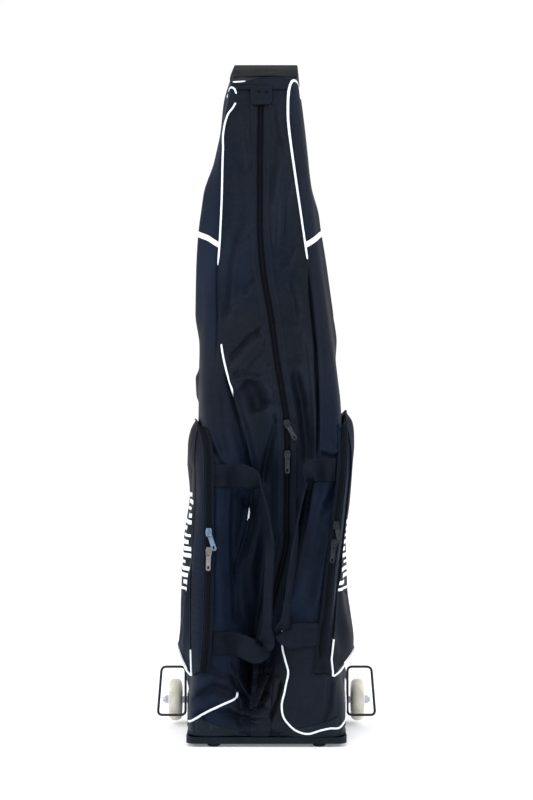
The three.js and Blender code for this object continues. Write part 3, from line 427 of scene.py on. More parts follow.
# ---------------------------------------------------------------- the shell's lines: (z, x, y)
ZIP_LINE = [
    (18, -12, -110), (50, -12, -98), (100, -9, -74), (170, -4, -54), (250, 14, -44), (337, 35, -45),
    (371, 35.5, -47), (548, 35.5, -56), (581, 31, -51), (660, 18, -40), (747, 6, -28), (783, -1, -23),
    (836, -8, -15.5), (889, -11.4, -8), (943, -11.5, -0.5),
    (1032, -11.5, 12), (1116, -10, 23), (1152, -9, 27),
]
TAPE_HALF = 14.3
SEAMS = {
    "back_left": [(18, -130, 102), (560, -114, 102), (900, -88, 102), (1197, -57, 102)],
    "side_left": [
        (18, -136, -20), (60, -137, 0), (120, -134, 0), (200, -128, 5), (350, -124, 8), (480, -121, 12),
        (554, -120.5, 15), (625, -120, 20), (768, -118.5, 30),
        (840, -117, 35), (894, -113.5, 40), (948, -107, 45),
        (993, -100, 48), (1038, -89, 52), (1066, -83, 54), (1129, -76, 58), (1172, -63, 62),
    ],
    "shoulder_left": [
        (18, -120, -111), (60, -122, -96), (120, -112, -90),
        (200, -102, -90), (300, -94, -91), (400, -92, -88),
        (480, -92, -80), (550, -98, -60), (625, -104, -36), (700, -105, -18), (800, -104, -6), (900, -99, 6),
        (1000, -90, 20), (1100, -75, 34), (1160, -64, 42),
    ],
    "piping_left": [
        (18, -52, -110), (81, -49, -84), (159, -49, -72), (244, -49, -62), (330, -41, -55), (382, -32, -50),
        (434, -26, -48), (495, -32, -50), (547, -44, -50), (595, -56, -46), (634, -68, -42), (674, -77, -37),
        (730, -83, -29), (818, -85, -19), (871, -82, -12), (943, -79, -2), (1032, -77, 9), (1083, -74, 16),
        (1112, -68, 21), (1152, -61, 28),
    ],
    "valley_left": [
        (18, -32, -110), (50, -32, -92), (100, -28, -60), (200, -18, -30), (300, -8, -28), (400, 2, -34),
        (500, 0, -44), (600, -18, -38), (700, -38, -34), (800, -48, -20), (900, -48, -6), (1000, -46, 7),
        (1100, -38, 20), (1152, -36, 27),
    ],
    "zip_left": [(z, x - TAPE_HALF, y) for z, x, y in ZIP_LINE],
    "zip_right": [(z, x + TAPE_HALF, y) for z, x, y in ZIP_LINE],
    "valley_right": [
        (18, 12, -111), (50, 14, -104), (100, 14, -88),
        (150, 16, -78), (200, 20, -68), (300, 48, -58), (400, 63, -56),
        (500, 66, -58), (600, 62, -46), (700, 50, -32), (800, 38, -19), (900, 28, -6), (1000, 22, 8),
        (1100, 16, 21), (1152, 17, 27),
    ],
    "piping_right": [
        (18, 32, -112), (51, 30, -108), (77, 27, -105), (103, 33, -100), (125, 37, -97), (145, 32, -95),
        (170, 27, -93), (222, 32, -86), (280, 54, -80),
        (332, 70, -76), (418, 79, -74), (504, 88, -67), (625, 89, -49), (686, 86, -40), (765, 80, -28),
        (827, 73, -19), (907, 62, -7), (978, 52, 3), (1068, 40, 15), (1105, 38, 20), (1152, 41, 28),
    ],
    "shoulder_right": [
        (18, 122, -112), (60, 122, -104), (120, 110, -98), (200, 96, -93), (300, 102, -91), (400, 115, -84),
        (480, 122, -74), (550, 122, -62), (625, 117, -44), (700, 109, -28), (800, 97, -10), (900, 83, 5),
        (1000, 70, 19), (1100, 57, 34), (1160, 51, 42),
    ],
    "side_right": [
        (18, 136, -20), (60, 137, 0), (120, 134, 0),
        (200, 128, 5), (350, 128, 8), (480, 131, 10), (519, 132, 12),
        (590, 130, 18), (625, 126, 20), (697, 118, 25),
        (768, 108, 30), (840, 98, 35), (894, 90, 40), (948, 84, 45),
        (1020, 75, 50), (1075, 69, 55), (1129, 62, 58), (1172, 55, 62),
    ],
    "back_right": [(18, 130, 102), (560, 114, 102), (900, 84, 102), (1197, 55, 102)],
}
NAMES = list(SEAMS)


def cubic(knots, z):
    """Points of a line at heights z, from knots (z, x, y), by the same cubic that the CAD uses."""
    knots = np.asarray(knots, float)
    z = np.clip(np.asarray(z, float), knots[0, 0], knots[-1, 0])
    i = np.clip(np.searchsorted(knots[:, 0], z, side="right") - 1, 0, len(knots) - 2)
    a, b = knots[i], knots[i + 1]
    before, after = knots[np.maximum(i - 1, 0)], knots[np.minimum(i + 2, len(knots) - 1)]
    step = b[:, :1] - a[:, :1]
    t = (z[:, None] - a[:, :1]) / step
    m0 = (b - before) / (b[:, :1] - before[:, :1]) * step
    m1 = (after - a) / (after[:, :1] - a[:, :1]) * step
    value = (2 * t**3 - 3 * t**2 + 1) * a + (t**3 - 2 * t**2 + t) * m0
    value += (3 * t**2 - 2 * t**3) * b + (t**3 - t**2) * m1
    return np.stack([value[:, 1], value[:, 2], z], axis=1)


def seam_top(name):
    return TOP_Z + (SEAMS[name][-1][2] - TOP_Y) * TOP_SLOPE


def seam_at(name, z):
    knots = np.array(SEAMS[name], float)
    knots[0, 0] = SHELL_BOTTOM
    knots[-1, 0] = seam_top(name)
    return cubic(knots, z)


def seam_rows(heights):
    """Each seam's points at nominal heights; above the taper a seam runs to its own top."""
    share = np.maximum((heights - TAPER_FROM) / (TOP_Z - TAPER_FROM), 0)
    lines = []
    for name in NAMES:
        z = np.where(share > 0, TAPER_FROM + share * (seam_top(name) - TAPER_FROM), heights)
        lines.append(seam_at(name, z))
    return np.stack(lines, axis=1)


def across_lines(lines, places):
    """Points at places across lines that stand side by side: place 0 is on the first line, 1 on the second."""
    i = np.minimum(places.astype(int), lines.shape[1] - 2)
    t = (places - i)[None, :, None]
    first = 2 * lines[:, :1] - lines[:, 1:2]
    last = 2 * lines[:, -1:] - lines[:, -2:-1]
    lines = np.concatenate([first, lines, last], axis=1)
    return catmull(lines[:, i], lines[:, i + 1], lines[:, i + 2], lines[:, i + 3], t)


def shell_points(places, heights):
    """Grid of points on the unfolded shell: rows by height, columns by place along the seams."""
    return across_lines(seam_rows(np.asarray(heights, float)), np.asarray(places, float))


# ---------------------------------------------------------------- folds, as seen from the front: (x, z)
# kind, half width, height, points. A lap raises the side on the right of its points over the side on the left.
FOLDS = [
    # upper front: soft pulls towards the zip
    ("valley", 10, 6, [(-53, 894), (-67, 829), (-70, 764), (-74, 720)]),
    ("valley", 14, 4, [(-50, 1010), (-38, 930), (-46, 860)]),
    ("valley", 10, 4, [(22, 1060), (12, 990), (6, 930)]),
    ("ridge", 7, 3, [(-44, 1096), (-36, 1050), (-30, 990)]),
    ("valley", 5, 3, [(14, 1110), (22, 1070), (34, 1020)]),
    ("ridge", 6, 3, [(28, 1010), (18, 930), (16, 850)]),
    ("crease", 4, 3, [(44, 980), (34, 930), (30, 870)]),
    ("ridge", 5, 3, [(-24, 900), (-36, 880), (-54, 868)]),
    ("crease", 4, 3, [(52, 860), (40, 830), (20, 818)]),
    ("valley", 6, 4, [(40, 800), (52, 770), (58, 730)]),
    ("valley", 4, 3, [(-18, 802), (-30, 793), (-43, 779)]),
    ("ridge", 8, 4, [(-17, 783), (-40, 764), (-62, 741)]),
    ("crease", 5, 8, [(-6, 715), (-29, 700), (-49, 678), (-70, 657)]),
    ("ridge", 6, 5, [(-4, 702), (-29, 678), (-53, 650), (-63, 636)]),
    ("crease", 2.5, 4, [(0, 678), (-22, 659), (-36, 643), (-60, 632)]),
    ("lap", 7, 5, [(-62, 628), (-37, 632), (-8, 628)]),
    ("valley", 18, 10, [(-42, 618), (-22, 600), (-10, 570)]),
    ("crease", 3, 5, [(11, 564), (20, 552), (32, 546)]),
    ("ridge", 12, 5, [(12, 612), (6, 585)]),
    ("ridge", 7, 6, [(-44, 560), (-30, 505), (-22, 470)]),
    # front right of the zip: a trough beside the side panel
    ("valley", 4, 3, [(10, 729), (32, 722), (60, 719)]),
    ("valley", 6, 4, [(30, 650), (48, 657), (64, 655)]),
    ("valley", 10, 9, [(46, 650), (60, 590), (70, 520), (72, 470)]),
    ("ridge", 4.5, 5, [(69, 711), (77, 642), (83, 573), (84, 500)]),
    ("valley", 5, 6, [(20, 560), (8, 520), (-2, 480), (-8, 440)]),
    # laps along the two long seams, where a side panel or the front rides over its neighbour
    ("lap", 5, 3, [(-86, 662), (-84, 730), (-85, 800), (-83, 850)]),
    ("lap", 7, 8, [(-26, 462), (-32, 503), (-44, 550), (-58, 598), (-70, 640)]),
    ("lap", 6, 5, [(90, 470), (91, 560), (90, 620), (87, 686), (80, 760), (74, 820)]),
    ("crease", 3, 5, [(74, 820), (80, 760), (87, 686), (90, 620), (91, 560), (90, 500)]),
    ("valley", 7, 5, [(-78, 600), (-80, 540), (-72, 480)]),
    ("ridge", 5, 4, [(-96, 530), (-84, 505), (-70, 478)]),
    ("crease", 3, 4, [(-94, 508), (-78, 480), (-66, 470)]),
    ("lap", 8, 6, [(131, 500), (110, 496), (93, 503)]),
    # lower left: a flat shoulder, then a thin standing edge in the valley
    ("ridge", 13, 8, [(-76, 440), (-78, 350), (-76, 260), (-74, 190)]),
    ("lap", 8, 8, [(-58, 445), (-62, 385), (-61, 300), (-58, 212)]),
    ("valley", 6, 8, [(-52, 430), (-40, 412), (-28, 405)]),
    ("ridge", 2.2, 9, [(-25, 446), (-28, 400), (-36, 356), (-47, 322), (-56, 284)]),
    ("valley", 6, 6, [(-36, 430), (-42, 380), (-54, 330)]),
    ("valley", 7, 6, [(-14, 420), (-18, 370), (-34, 310)]),
    ("ridge", 10, 6, [(-18, 390), (-24, 300), (-20, 220)]),
    ("valley", 9, 7, [(-60, 300), (-50, 240), (-44, 200)]),
    # lower right: the side panel folds far over the valley
    ("lap", 13, 17, [(30, 215), (42, 262), (56, 328), (68, 392), (80, 452)]),
    ("ridge", 9, 6, [(104, 455), (88, 400), (74, 330), (60, 270), (52, 225)]),
    ("valley", 7, 5, [(122, 452), (112, 420), (98, 405)]),
    ("crease", 4, 4, [(120, 430), (104, 398), (90, 392)]),
    ("ridge", 8, 5, [(110, 370), (96, 300), (84, 235)]),
    # foot of the bag: the spare cloth crumples over the tray
    ("valley", 15, 22, [(-18, 176), (-22, 140), (-24, 96)]),
    ("valley", 11, 16, [(-38, 146), (-20, 134), (6, 122)]),
    ("ridge", 4, 12, [(-54, 124), (-46, 104), (-34, 86), (-18, 66)]),
    ("ridge", 4, 13, [(8, 134), (0, 108), (-8, 88), (-20, 64)]),
    ("crease", 3, 10, [(-62, 116), (-52, 96), (-38, 76), (-24, 56)]),
    ("ridge", 3, 7, [(-36, 112), (-24, 102), (-14, 112)]),
    ("crease", 2.5, 8, [(-36, 98), (-24, 90), (-10, 98)]),
    ("valley", 9, 10, [(-24, 116), (-22, 92), (-20, 72)]),
    ("ridge", 9, 9, [(18, 120), (12, 84), (0, 52)]),
    ("crease", 3, 7, [(26, 110), (20, 78), (6, 46)]),
    ("ridge", 5, 6, [(-96, 62), (-66, 66), (-40, 54), (-10, 50)]),
    ("valley", 4, 5, [(-84, 52), (-50, 48), (-16, 40)]),
    ("crease", 2.5, 5, [(-60, 92), (-48, 70), (-44, 52)]),
    ("lap", 6, 7, [(-62, 140), (-52, 108), (-40, 84)]),
    ("valley", 6, 6, [(-134, 70), (-90, 97), (-52, 84)]),
    ("ridge", 7, 5, [(-130, 86), (-92, 114), (-58, 104)]),
    ("ridge", 6, 5, [(-128, 56), (-88, 78), (-58, 72)]),
    ("crease", 3, 5, [(-100, 134), (-78, 118), (-52, 112)]),
    ("ridge", 9, 5, [(-96, 34), (-50, 28), (10, 31), (60, 25), (100, 30)]),
    ("valley", 5, 4, [(-70, 60), (-52, 46), (-40, 34)]),
    ("ridge", 4, 3, [(118, 112), (114, 64), (104, 38)]),
    ("ridge", 4, 3, [(100, 120), (96, 70), (90, 40)]),
    ("valley", 4, 3, [(109, 116), (106, 66), (97, 38)]),
    ("crease", 3, 4, [(-116, 60), (-104, 42), (-96, 28)]),
]


def along_fold(x, z, points):
    """Distance to a fold's line, signed positive on its right, and how far along it (0 to 1)."""
    best = np.full(x.shape, 1e9)
    side = np.ones(x.shape)
    share = np.zeros(x.shape)
    lengths = [math.dist(a, b) for a, b in zip(points, points[1:])]
    total = sum(lengths)
    done = 0.0
    for (ax, az), (bx, bz), length in zip(points, points[1:], lengths):
        ux, uz = (bx - ax) / length, (bz - az) / length
        t = (x - ax) * ux + (z - az) * uz
        held = np.clip(t, 0, length)
        dx, dz = x - ax - held * ux, z - az - held * uz
        distance = np.hypot(dx, dz)
        closer = distance < best
        best = np.where(closer, distance, best)
        side = np.where(closer, np.sign(uz * dx - ux * dz), side)
        share = np.where(closer, (done + t) / total, share)
        done += length
    return best * side, share


def fold_height(x, z, folds):
    height = np.zeros(x.shape)
    for kind, width, high, points in folds:
        d, share = along_fold(x, z, points)
        fade = np.clip(np.minimum(share, 1 - share) / 0.2 + 0.25, 0, 1)
        fade = fade * fade * (3 - 2 * fade)
        if kind == "valley":
            height -= high * fade * np.exp(-((d / width) ** 2))
        elif kind == "ridge":
            height += high * fade * np.exp(-((d / width) ** 2))
        elif kind == "crease":
            height -= high * fade * np.exp(-np.abs(d) / width)
        else:
            lift = np.where(d > 0, np.exp(-((d / width) ** 2)), -np.exp(-((d / (0.6 * width)) ** 2)))
            height += high * fade * lift * np.tanh(np.abs(d) / 1.2)
    return height


FOLD_DEPTH = 1.3


def folded(points):
    """Moves points of the shell along -Y by the folds of its front."""
    points = points.copy()
    x, y, z = points[..., 0], points[..., 1], points[..., 2]
    points[..., 1] = y - FOLD_DEPTH * fold_height(x, z, FOLDS)
    return points


SIDE_FOLDS = {
    # as seen from each side: (y, z)
    "left": [
        ("valley", 16, 8, [(70, 1040), (64, 930), (76, 800)]),
        ("ridge", 20, 8, [(44, 1000), (34, 860), (30, 700)]),
        ("crease", 4, 6, [(96, 700), (60, 676), (22, 668)]),
        ("valley", 18, 9, [(84, 760), (70, 690), (78, 600)]),
        ("ridge", 12, 6, [(20, 640), (46, 600), (84, 590)]),
        ("valley", 10, 6, [(98, 950), (70, 925), (40, 930)]),
        ("ridge", 14, 6, [(90, 140), (30, 112), (-40, 96)]),
        ("valley", 10, 8, [(88, 84), (20, 66), (-50, 60)]),
        ("crease", 3, 6, [(60, 120), (40, 80), (44, 40)]),
    ],
    "right": [
        ("valley", 16, 8, [(72, 1010), (66, 900), (78, 780)]),
        ("ridge", 20, 8, [(50, 960), (36, 820), (34, 660)]),
        ("crease", 4, 6, [(98, 744), (64, 730), (30, 736)]),
        ("valley", 18, 9, [(80, 720), (66, 660), (76, 600)]),
        ("valley", 10, 6, [(96, 880), (70, 860), (46, 868)]),
        ("ridge", 14, 6, [(88, 130), (20, 108), (-50, 100)]),
        ("valley", 10, 8, [(90, 76), (20, 60), (-40, 66)]),
        ("crease", 3, 6, [(50, 116), (36, 76), (40, 36)]),
    ],
}


def side_folded(points, places):
    """Moves points of the side panels along X by their own folds."""
    points = points.copy()
    y, z = points[..., 1], points[..., 2]
    fade = np.clip((y + 70) / 60, 0, 1) * np.clip((101 - y) / 14, 0, 1)
    for side, sign, on_side in (("left", -1, places < 3), ("right", 1, places > 8)):
        points[..., 0] += sign * fade * on_side * fold_height(y, z, SIDE_FOLDS[side])
    return points


def shell(places, heights):
    """The shell with its folds: rows by height, columns by place along the seams."""
    places = np.asarray(places, float)
    return side_folded(folded(shell_points(places, heights)), places)


HEIGHTS = np.concatenate([np.linspace(SHELL_BOTTOM, 240, 74), np.linspace(243, TOP_Z, 250)])


def panel(name, start, end, mat, columns, cad_node):
    """One panel of the shell, from one seam to the next."""
    places = np.linspace(NAMES.index(start), NAMES.index(end), columns)
    piece = sheet(name, shell(places, HEIGHTS), 1.6, mat, slot="nylon")
    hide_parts(cad_node)


panel("shell_side_left", "back_left", "piping_left", NYLON_SIDE_LIT, 90, "side_panel_left")
panel("shell_front_left", "piping_left", "zip_left", NYLON, 70, "front_panel_left")
panel("shell_front_right", "zip_right", "piping_right", NYLON, 70, "front_panel_right")
panel("shell_side_right", "piping_right", "back_right", NYLON_SIDE_LIT, 90, "side_panel_right")

BARE = shell_points(np.linspace(1, 10, 361), HEIGHTS)
FRONT = shell(np.linspace(1, 10, 361), HEIGHTS)
FULL = shell(np.linspace(0, 11, 441), HEIGHTS)
MIDDLE = 180  # the column of BARE and of FRONT that gives the height of a row


def front_y(x, z, proud=0.0, grid=None):
    """Y of the shell's front at (x, z), moved forward by proud. The grid is FRONT, or BARE for no folds."""
    grid = FRONT if grid is None else grid
    x, z = np.broadcast_arrays(np.asarray(x, float), np.asarray(z, float))
    row = np.clip(np.searchsorted(grid[:, MIDDLE, 2], z.ravel()), 1, len(grid) - 1)
    out = []
    for k, xx, zz in zip(row, x.ravel(), z.ravel()):
        low, high = grid[k - 1], grid[k]
        share = np.clip((zz - low[MIDDLE, 2]) / max(high[MIDDLE, 2] - low[MIDDLE, 2], 1e-6), 0, 1)
        ys = [np.interp(xx, line[:, 0], line[:, 1]) for line in (low, high)]
        out.append(ys[0] + share * (ys[1] - ys[0]))
    return np.array(out).reshape(x.shape) - proud


def onto_shell(point):
    """Nearest point of the folded shell at the point's own height."""
    k = int(np.clip(np.searchsorted(HEIGHTS, point[2]), 1, len(HEIGHTS) - 1))
    share = (point[2] - HEIGHTS[k - 1]) / (HEIGHTS[k] - HEIGHTS[k - 1])
    line = FULL[k - 1] + share * (FULL[k] - FULL[k - 1])
    return line[np.argmin(np.hypot(line[:, 0] - point[0], line[:, 1] - point[1]))]


def on_front(path, proud=0.0):
    """Points given as (x, z), laid on the shell's front."""
    path = np.asarray(path, float)
    return np.stack([path[:, 0], front_y(path[:, 0], path[:, 1], proud), path[:, 1]], axis=1)


THREAD_HALF = 0.45


def stitches(name, path, pitch=4.2, length=2.7, mat=THREAD, body=ROOT, normal=(0, -1, 0)):
    """A row of thread stitches along a path."""
    path = np.asarray(path, float)
    run = run_length(path)
    out = np.asarray(normal, float)
    points, faces = [], []
    for start in np.arange(0.5, run[-1] - length, pitch):
        ends = [np.array([np.interp(q, run, path[:, k]) for k in range(3)])
                for q in (start, start + length)]
        ahead = (ends[1] - ends[0]) / max(np.linalg.norm(ends[1] - ends[0]), 1e-6)
        side = np.cross(ahead, out)
        side /= max(np.linalg.norm(side), 1e-6)
        base = len(points)
        for end, dip in ((ends[0], 0.35), (0.5 * (ends[0] + ends[1]), 0.0), (ends[1], 0.35)):
            for a, b in ((-1, -0.6), (1, -0.6), (0.55, 0.7), (-0.55, 0.7)):
                points.append(end + side * a * THREAD_HALF + out * (b * THREAD_HALF - dip))
        for r in (0, 4):
            for k in range(4):
                a, b = base + r + k, base + r + (k + 1) % 4
                faces.append((a, b, b + 4, a + 4))
        faces.append((base + 3, base + 2, base + 1, base))
        faces.append((base + 8, base + 9, base + 10, base + 11))
    return mesh_piece(name, points, faces, mat, body=body)


# ---------------------------------------------------------------- piping
PIPE = 1.7


def eased(z, stops):
    """How far the piping stands out of the seam at height z, from (z, offset) stops."""
    zs, values = zip(*sorted(stops))
    return np.interp(z, zs, values)


def seam_on_shell(name, z):
    rows = shell([NAMES.index(name)], z)
    return rows[:, 0]


def piping_left():
    z = np.arange(1036, 250, -6.0)
    path = seam_on_shell("piping_left", z)
    shown = eased(z, [(1200, 2), (835, 2), (812, -9), (700, -9), (680, 2.5), (606, 2.5), (594, -14), (408, -14),
                      (398, 1.2), (386, 1.2), (376, -14), (240, -14)])
    path[:, 1] -= shown
    start = on_front([(-55, 1117), (-60, 1108), (-67, 1099), (-73, 1083), (-77, 1058)], 2.0)
    path = smooth_path(np.vstack([start, path]), 620)
    upper = tube("piping_left_upper", path, PIPE, PIPING, slot="reflective_white")
    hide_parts("piping_left")
    arch = on_front([(-69.5, 1130), (-67.5, 1140), (-62, 1146), (-56.5, 1142), (-54, 1135)], 2.6)
    arch[-1, 1] += 4
    tube("piping_left_arch", smooth_path(arch, 70), PIPE, PIPING, slot="reflective_white")
    foot = on_front(smooth_path([(-50, 92), (-52, 79), (-70, 72), (-93, 62), (-118, 48), (-134, 37)], 60), 2.0)
    tucked = 8
    foot[:tucked, 1] += np.linspace(14, 0, tucked)
    tube("piping_left_lower", foot, PIPE * 1.15, PIPING, slot="reflective_white")


def piping_right():
    z = np.arange(1106, 100, -6.0)
    path = seam_on_shell("piping_right", z)
    shown = eased(z, [(1200, 2), (850, 2), (822, -6), (500, -10), (262, -10), (244, 2.5), (100, 2.5)])
    path[:, 1] -= shown
    arch = [(59.5, 1130), (58.5, 1146), (55.5, 1156), (50.5, 1160.5), (45, 1157), (41, 1147), (38.5, 1128)]
    arch = on_front(arch, 2.0)
    loop = [(31, 92), (26, 70), (29, 50), (40, 36), (52, 28), (70, 24), (90, 29), (108, 32), (124, 32),
            (133, 38)]
    loop = on_front(smooth_path(loop, 90), 2.2)
    side = [(137.5, -44, 46), (138, -38, 64), (137, -34, 84), (136, -32, 104)]
    path = smooth_path(np.vstack([arch, path, loop[1:], side]), 780)
    thick = np.interp(path[:, 2], [900, 1040, 1150], [PIPE, 1.25 * PIPE, 1.4 * PIPE])
    piece = tube("piping_right_whole", path, thick, PIPING, slot="reflective_white")
    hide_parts("piping_right")


piping_left()
piping_right()

# ---------------------------------------------------------------- main zip
# Distances from the zip's middle line
TAPE_INNER, TAPE_OUTER = 3.2, 15.8
BORDER_INNER, BORDER_OUTER = 6.8, 18
BORDER_STITCHES = (8.6, 14.6)


def zip_strip(points, x0, x1, proud, columns):
    """Rows of a strip beside a zip's line, from x0 to x1 across."""
    across = np.linspace(x0, x1, columns)
    rows = np.repeat(points[:, None], columns, axis=1)
    rows[..., 0] += across
    rows[..., 1] -= proud
    return rows


def coil(name, line, half, high, pitch, *cad_nodes):
    """Zip teeth: a bumpy strip whose two halves mesh along the middle."""
    length = np.linalg.norm(np.diff(line, axis=0), axis=1).sum()
    count = int(length / pitch) * 4
    points = smooth_path(line, count + 1)
    across = np.array([-1, -0.8, -0.35, 0, 0.35, 0.8, 1]) * half
    rise = np.array([0, 0.8, 1, 0.72, 1, 0.8, 0])
    phase = np.arange(count + 1) % 4
    left = np.where(phase < 2, 1.0, 0.45)
    right = np.where(phase >= 2, 1.0, 0.45)
    rows = np.repeat(points[:, None], len(across), axis=1)
    rows[..., 0] += across
    tall = np.stack([left, left, left, 0.5 * (left + right), right, right, right], axis=1) * rise
    rows[..., 1] -= 0.5 + high * tall
    piece = sheet(name, rows, 0.6, ZIP_PLASTIC, inward=(0, 1, 0), slot="zip_tape")
    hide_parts(*cad_nodes)


def zip_centre(z):
    """Middle of the main zip on the folded shell."""
    left, right = (seam_on_shell(n, z) for n in ("zip_left", "zip_right"))
    return 0.5 * (left + right)


def main_zip():
    z = np.linspace(60, 1150, 260)
    middle = zip_centre(z)
    for side, sign in (("left", -1), ("right", 1)):
        strip = zip_strip(middle, sign * TAPE_INNER, sign * TAPE_OUTER, 0.4, 6)
        strip[:, -1, 1] = seam_on_shell(f"zip_{side}", z)[:, 1] - 0.9
        rows = strip if sign > 0 else strip[:, ::-1]
        tape = sheet(f"zip_tape_{side}", rows, 0.9, TAPE, inward=(0, 1, 0), slot="zip_tape")
        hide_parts(f"main_zip_tape_{side}")
        for k, off in enumerate(BORDER_STITCHES):
            path = middle + (sign * off, -2.1, 0)
            stitches(f"zip_stitch_{side}_{k}", path)
        border = zip_strip(middle, sign * BORDER_INNER, sign * BORDER_OUTER, 1.7, 7)
        border[:, -1, 1] = front_y(border[:, -1, 0], border[:, -1, 2], -0.3)
        border[:, -2, 1] = np.minimum(border[:, -2, 1], 0.5 * (border[:, -3, 1] + border[:, -1, 1]))
        border = border if sign > 0 else border[:, ::-1]
        sheet(f"zip_border_{side}", border, 1.2, NYLON, inward=(0, 1, 0), slot="nylon")
        fold = middle + (sign * BORDER_INNER, -1.3, 0)
        tube(f"zip_fold_{side}", fold, 0.9, NYLON, sides=8, slot="nylon")
    coil("zip_coil", middle, 3.0, 1.8, 2.6, "main_zip_coil")


main_zip()

# ---------------------------------------------------------------- side pockets
POCKET_LINES = {
    "left": [
        [(124, -114, -92), (248, -107, -98), (368, -107, -96), (470, -108, -88), (541, -112, -46)],
        [(115, -129, -66), (180, -132, -68), (300, -131, -66), (420, -124, -62), (500, -125, -48),
         (549, -119, -22)],
        [(160, -155, -10), (192, -152, -8), (240, -151, -6), (326, -146, -4), (379, -139, -2), (420, -134, 0),
         (476, -137, 2), (511, -139, 4), (538, -134, 6), (555, -125, 8)],
        [(166, -142, 60), (240, -140, 62), (330, -135, 62), (430, -128, 62), (510, -127, 62), (548, -122, 60)],
        [(168, -134, 94), (300, -128, 96), (430, -123, 96), (540, -119, 96)],
    ],
    "right": [
        [(122, 97, -98), (231, 112, -100), (299, 118, -98), (350, 125, -94), (401, 131, -86), (460, 137, -74),
         (548, 133, -46)],
        [(119, 108, -93), (180, 113, -90), (300, 125, -72), (420, 139, -58), (500, 146, -44), (560, 138, -20)],
        [(153, 153, -10), (176, 153, -9), (212, 148, -8), (256, 142, -6), (361, 142, -4), (414, 148, -2),
         (476, 153, 0), (520, 155, 2), (551, 152, 5), (570, 140, 8)],
        [(161, 142, 60), (240, 140, 62), (330, 138, 62), (430, 140, 62), (510, 142, 62), (562, 133, 60)],
        [(168, 134, 94), (300, 128, 96), (430, 124, 96), (556, 120, 96)],
    ],
}
POCKET_ZIPS = {
    "left": [(124, -107, -95.5), (162, -103, -97.5), (248, -99, -98.4), (368, -98.5, -97.5), (470, -99, -92),
             (505, -101, -84), (530, -106, -68), (544, -113, -48)],
    "right": [(122, 88, -100), (180, 94, -101.2), (231, 102, -101.5), (299, 109, -100.6), (350, 116, -99),
              (401, 122, -94), (460, 129, -86), (510, 132, -72), (548, 131, -50)],
}
# Folds of a pocket's cloth, placed by (line number x 30, height). Lines: shell, zip, five pocket lines, back.
POCKET_FOLDS = {
    "left": [
        ("ridge", 2.5, 1.8, [(90, 520), (90, 300), (90, 130)]),
        ("ridge", 6, 4, [(94, 345), (101, 262), (113, 160)]),
        ("valley", 5, 4, [(93, 300), (98, 222), (107, 150)]),
        ("valley", 5, 3, [(98, 400), (104, 350), (112, 320)]),
        ("ridge", 7, 3, [(100, 480), (108, 440), (112, 400)]),
        ("crease", 3, 3, [(95, 262), (100, 225), (104, 196)]),
        ("valley", 16, 6, [(134, 500), (142, 420), (136, 330)]),
        ("ridge", 13, 5, [(150, 470), (146, 360), (156, 240)]),
        ("valley", 10, 5, [(166, 420), (160, 320), (170, 220)]),
        ("crease", 5, 5, [(126, 300), (144, 262), (168, 250)]),
    ],
    "right": [
        ("ridge", 2.5, 1.8, [(90, 520), (90, 300), (90, 130)]),
        ("ridge", 6, 4, [(94, 320), (102, 250), (112, 170)]),
        ("valley", 5, 4, [(93, 280), (98, 214), (106, 150)]),
        ("crease", 3, 3, [(96, 270), (108, 262), (119, 250)]),
        ("valley", 16, 6, [(134, 500), (140, 410), (136, 320)]),
        ("ridge", 13, 5, [(152, 480), (148, 370), (158, 250)]),
        ("valley", 10, 5, [(168, 430), (162, 330), (170, 230)]),
        ("crease", 5, 5, [(124, 330), (146, 300), (166, 310)]),
    ],
}
GUSSET_WRINKLES = [("valley", 2.4, 0.9, [(64, z), (88, z + 2)]) for z in range(188, 320, 11)]
LINE_STEP = 30
POCKET_TAPE_HALF = 7.5
# Lowest and highest bar of the print and their number, and how far the bars reach across the pocket's lines
PRINT_BARS = {"left": (262, 424, 15), "right": (262, 378, 11)}
BAR_REACH = [(3.14, 3.95), (3.14, 3.60), (3.30, 3.95), (3.14, 3.95), (3.50, 3.95)]
# Height up to which the piping of a pocket's front edge is white
WHITE_TIP = {"left": 160, "right": 182}


def pocket_surface(side):
    """Outer face of a pocket: from the shell under the zip, round its five lines, to the back corner."""
    sign = -1 if side == "left" else 1
    share = np.linspace(0, 1, 160)
    lines = [cubic(k, k[0][0] + share * (k[-1][0] - k[0][0])) for k in POCKET_LINES[side]]
    under = cubic(POCKET_ZIPS[side], lines[0][:, 2]) + (0, 1.8, 0)
    sewn = under - (sign * 9, 0, 0)
    sewn[:, 1] = np.minimum(front_y(sewn[:, 0], sewn[:, 2], 0.6), under[:, 1] + 14)
    corner = seam_at("back_" + side, lines[-1][:, 2]) + (sign * 1.5, -1.5, 0)
    lines = np.stack([sewn, under, *lines, corner], axis=1)
    places = np.linspace(0, lines.shape[1] - 1, 113)
    rows = across_lines(lines, places)
    out = grid_normals(rows)
    wide = np.broadcast_to(places * LINE_STEP, rows.shape[:2])
    lift = fold_height(wide, rows[..., 2], POCKET_FOLDS[side] + GUSSET_WRINKLES)
    ease = np.clip(np.minimum(share, 1 - share) / 0.04, 0, 1)[:, None] * np.clip(places, 0, 1)
    rows = clear_of_shell(rows + out * (lift * ease)[..., None], 1.6)
    return rows, places


def clear_of_shell(rows, gap):
    """Moves points out to a distance from the folded shell, at their own height."""
    flat = rows.reshape(-1, 3)
    for n, point in enumerate(flat):
        near = onto_shell(point)
        out = near[:2] / np.hypot(*near[:2])
        short = gap - (point[:2] - near[:2]) @ out
        if short > 0:
            flat[n, :2] += out * short
    return flat.reshape(rows.shape)


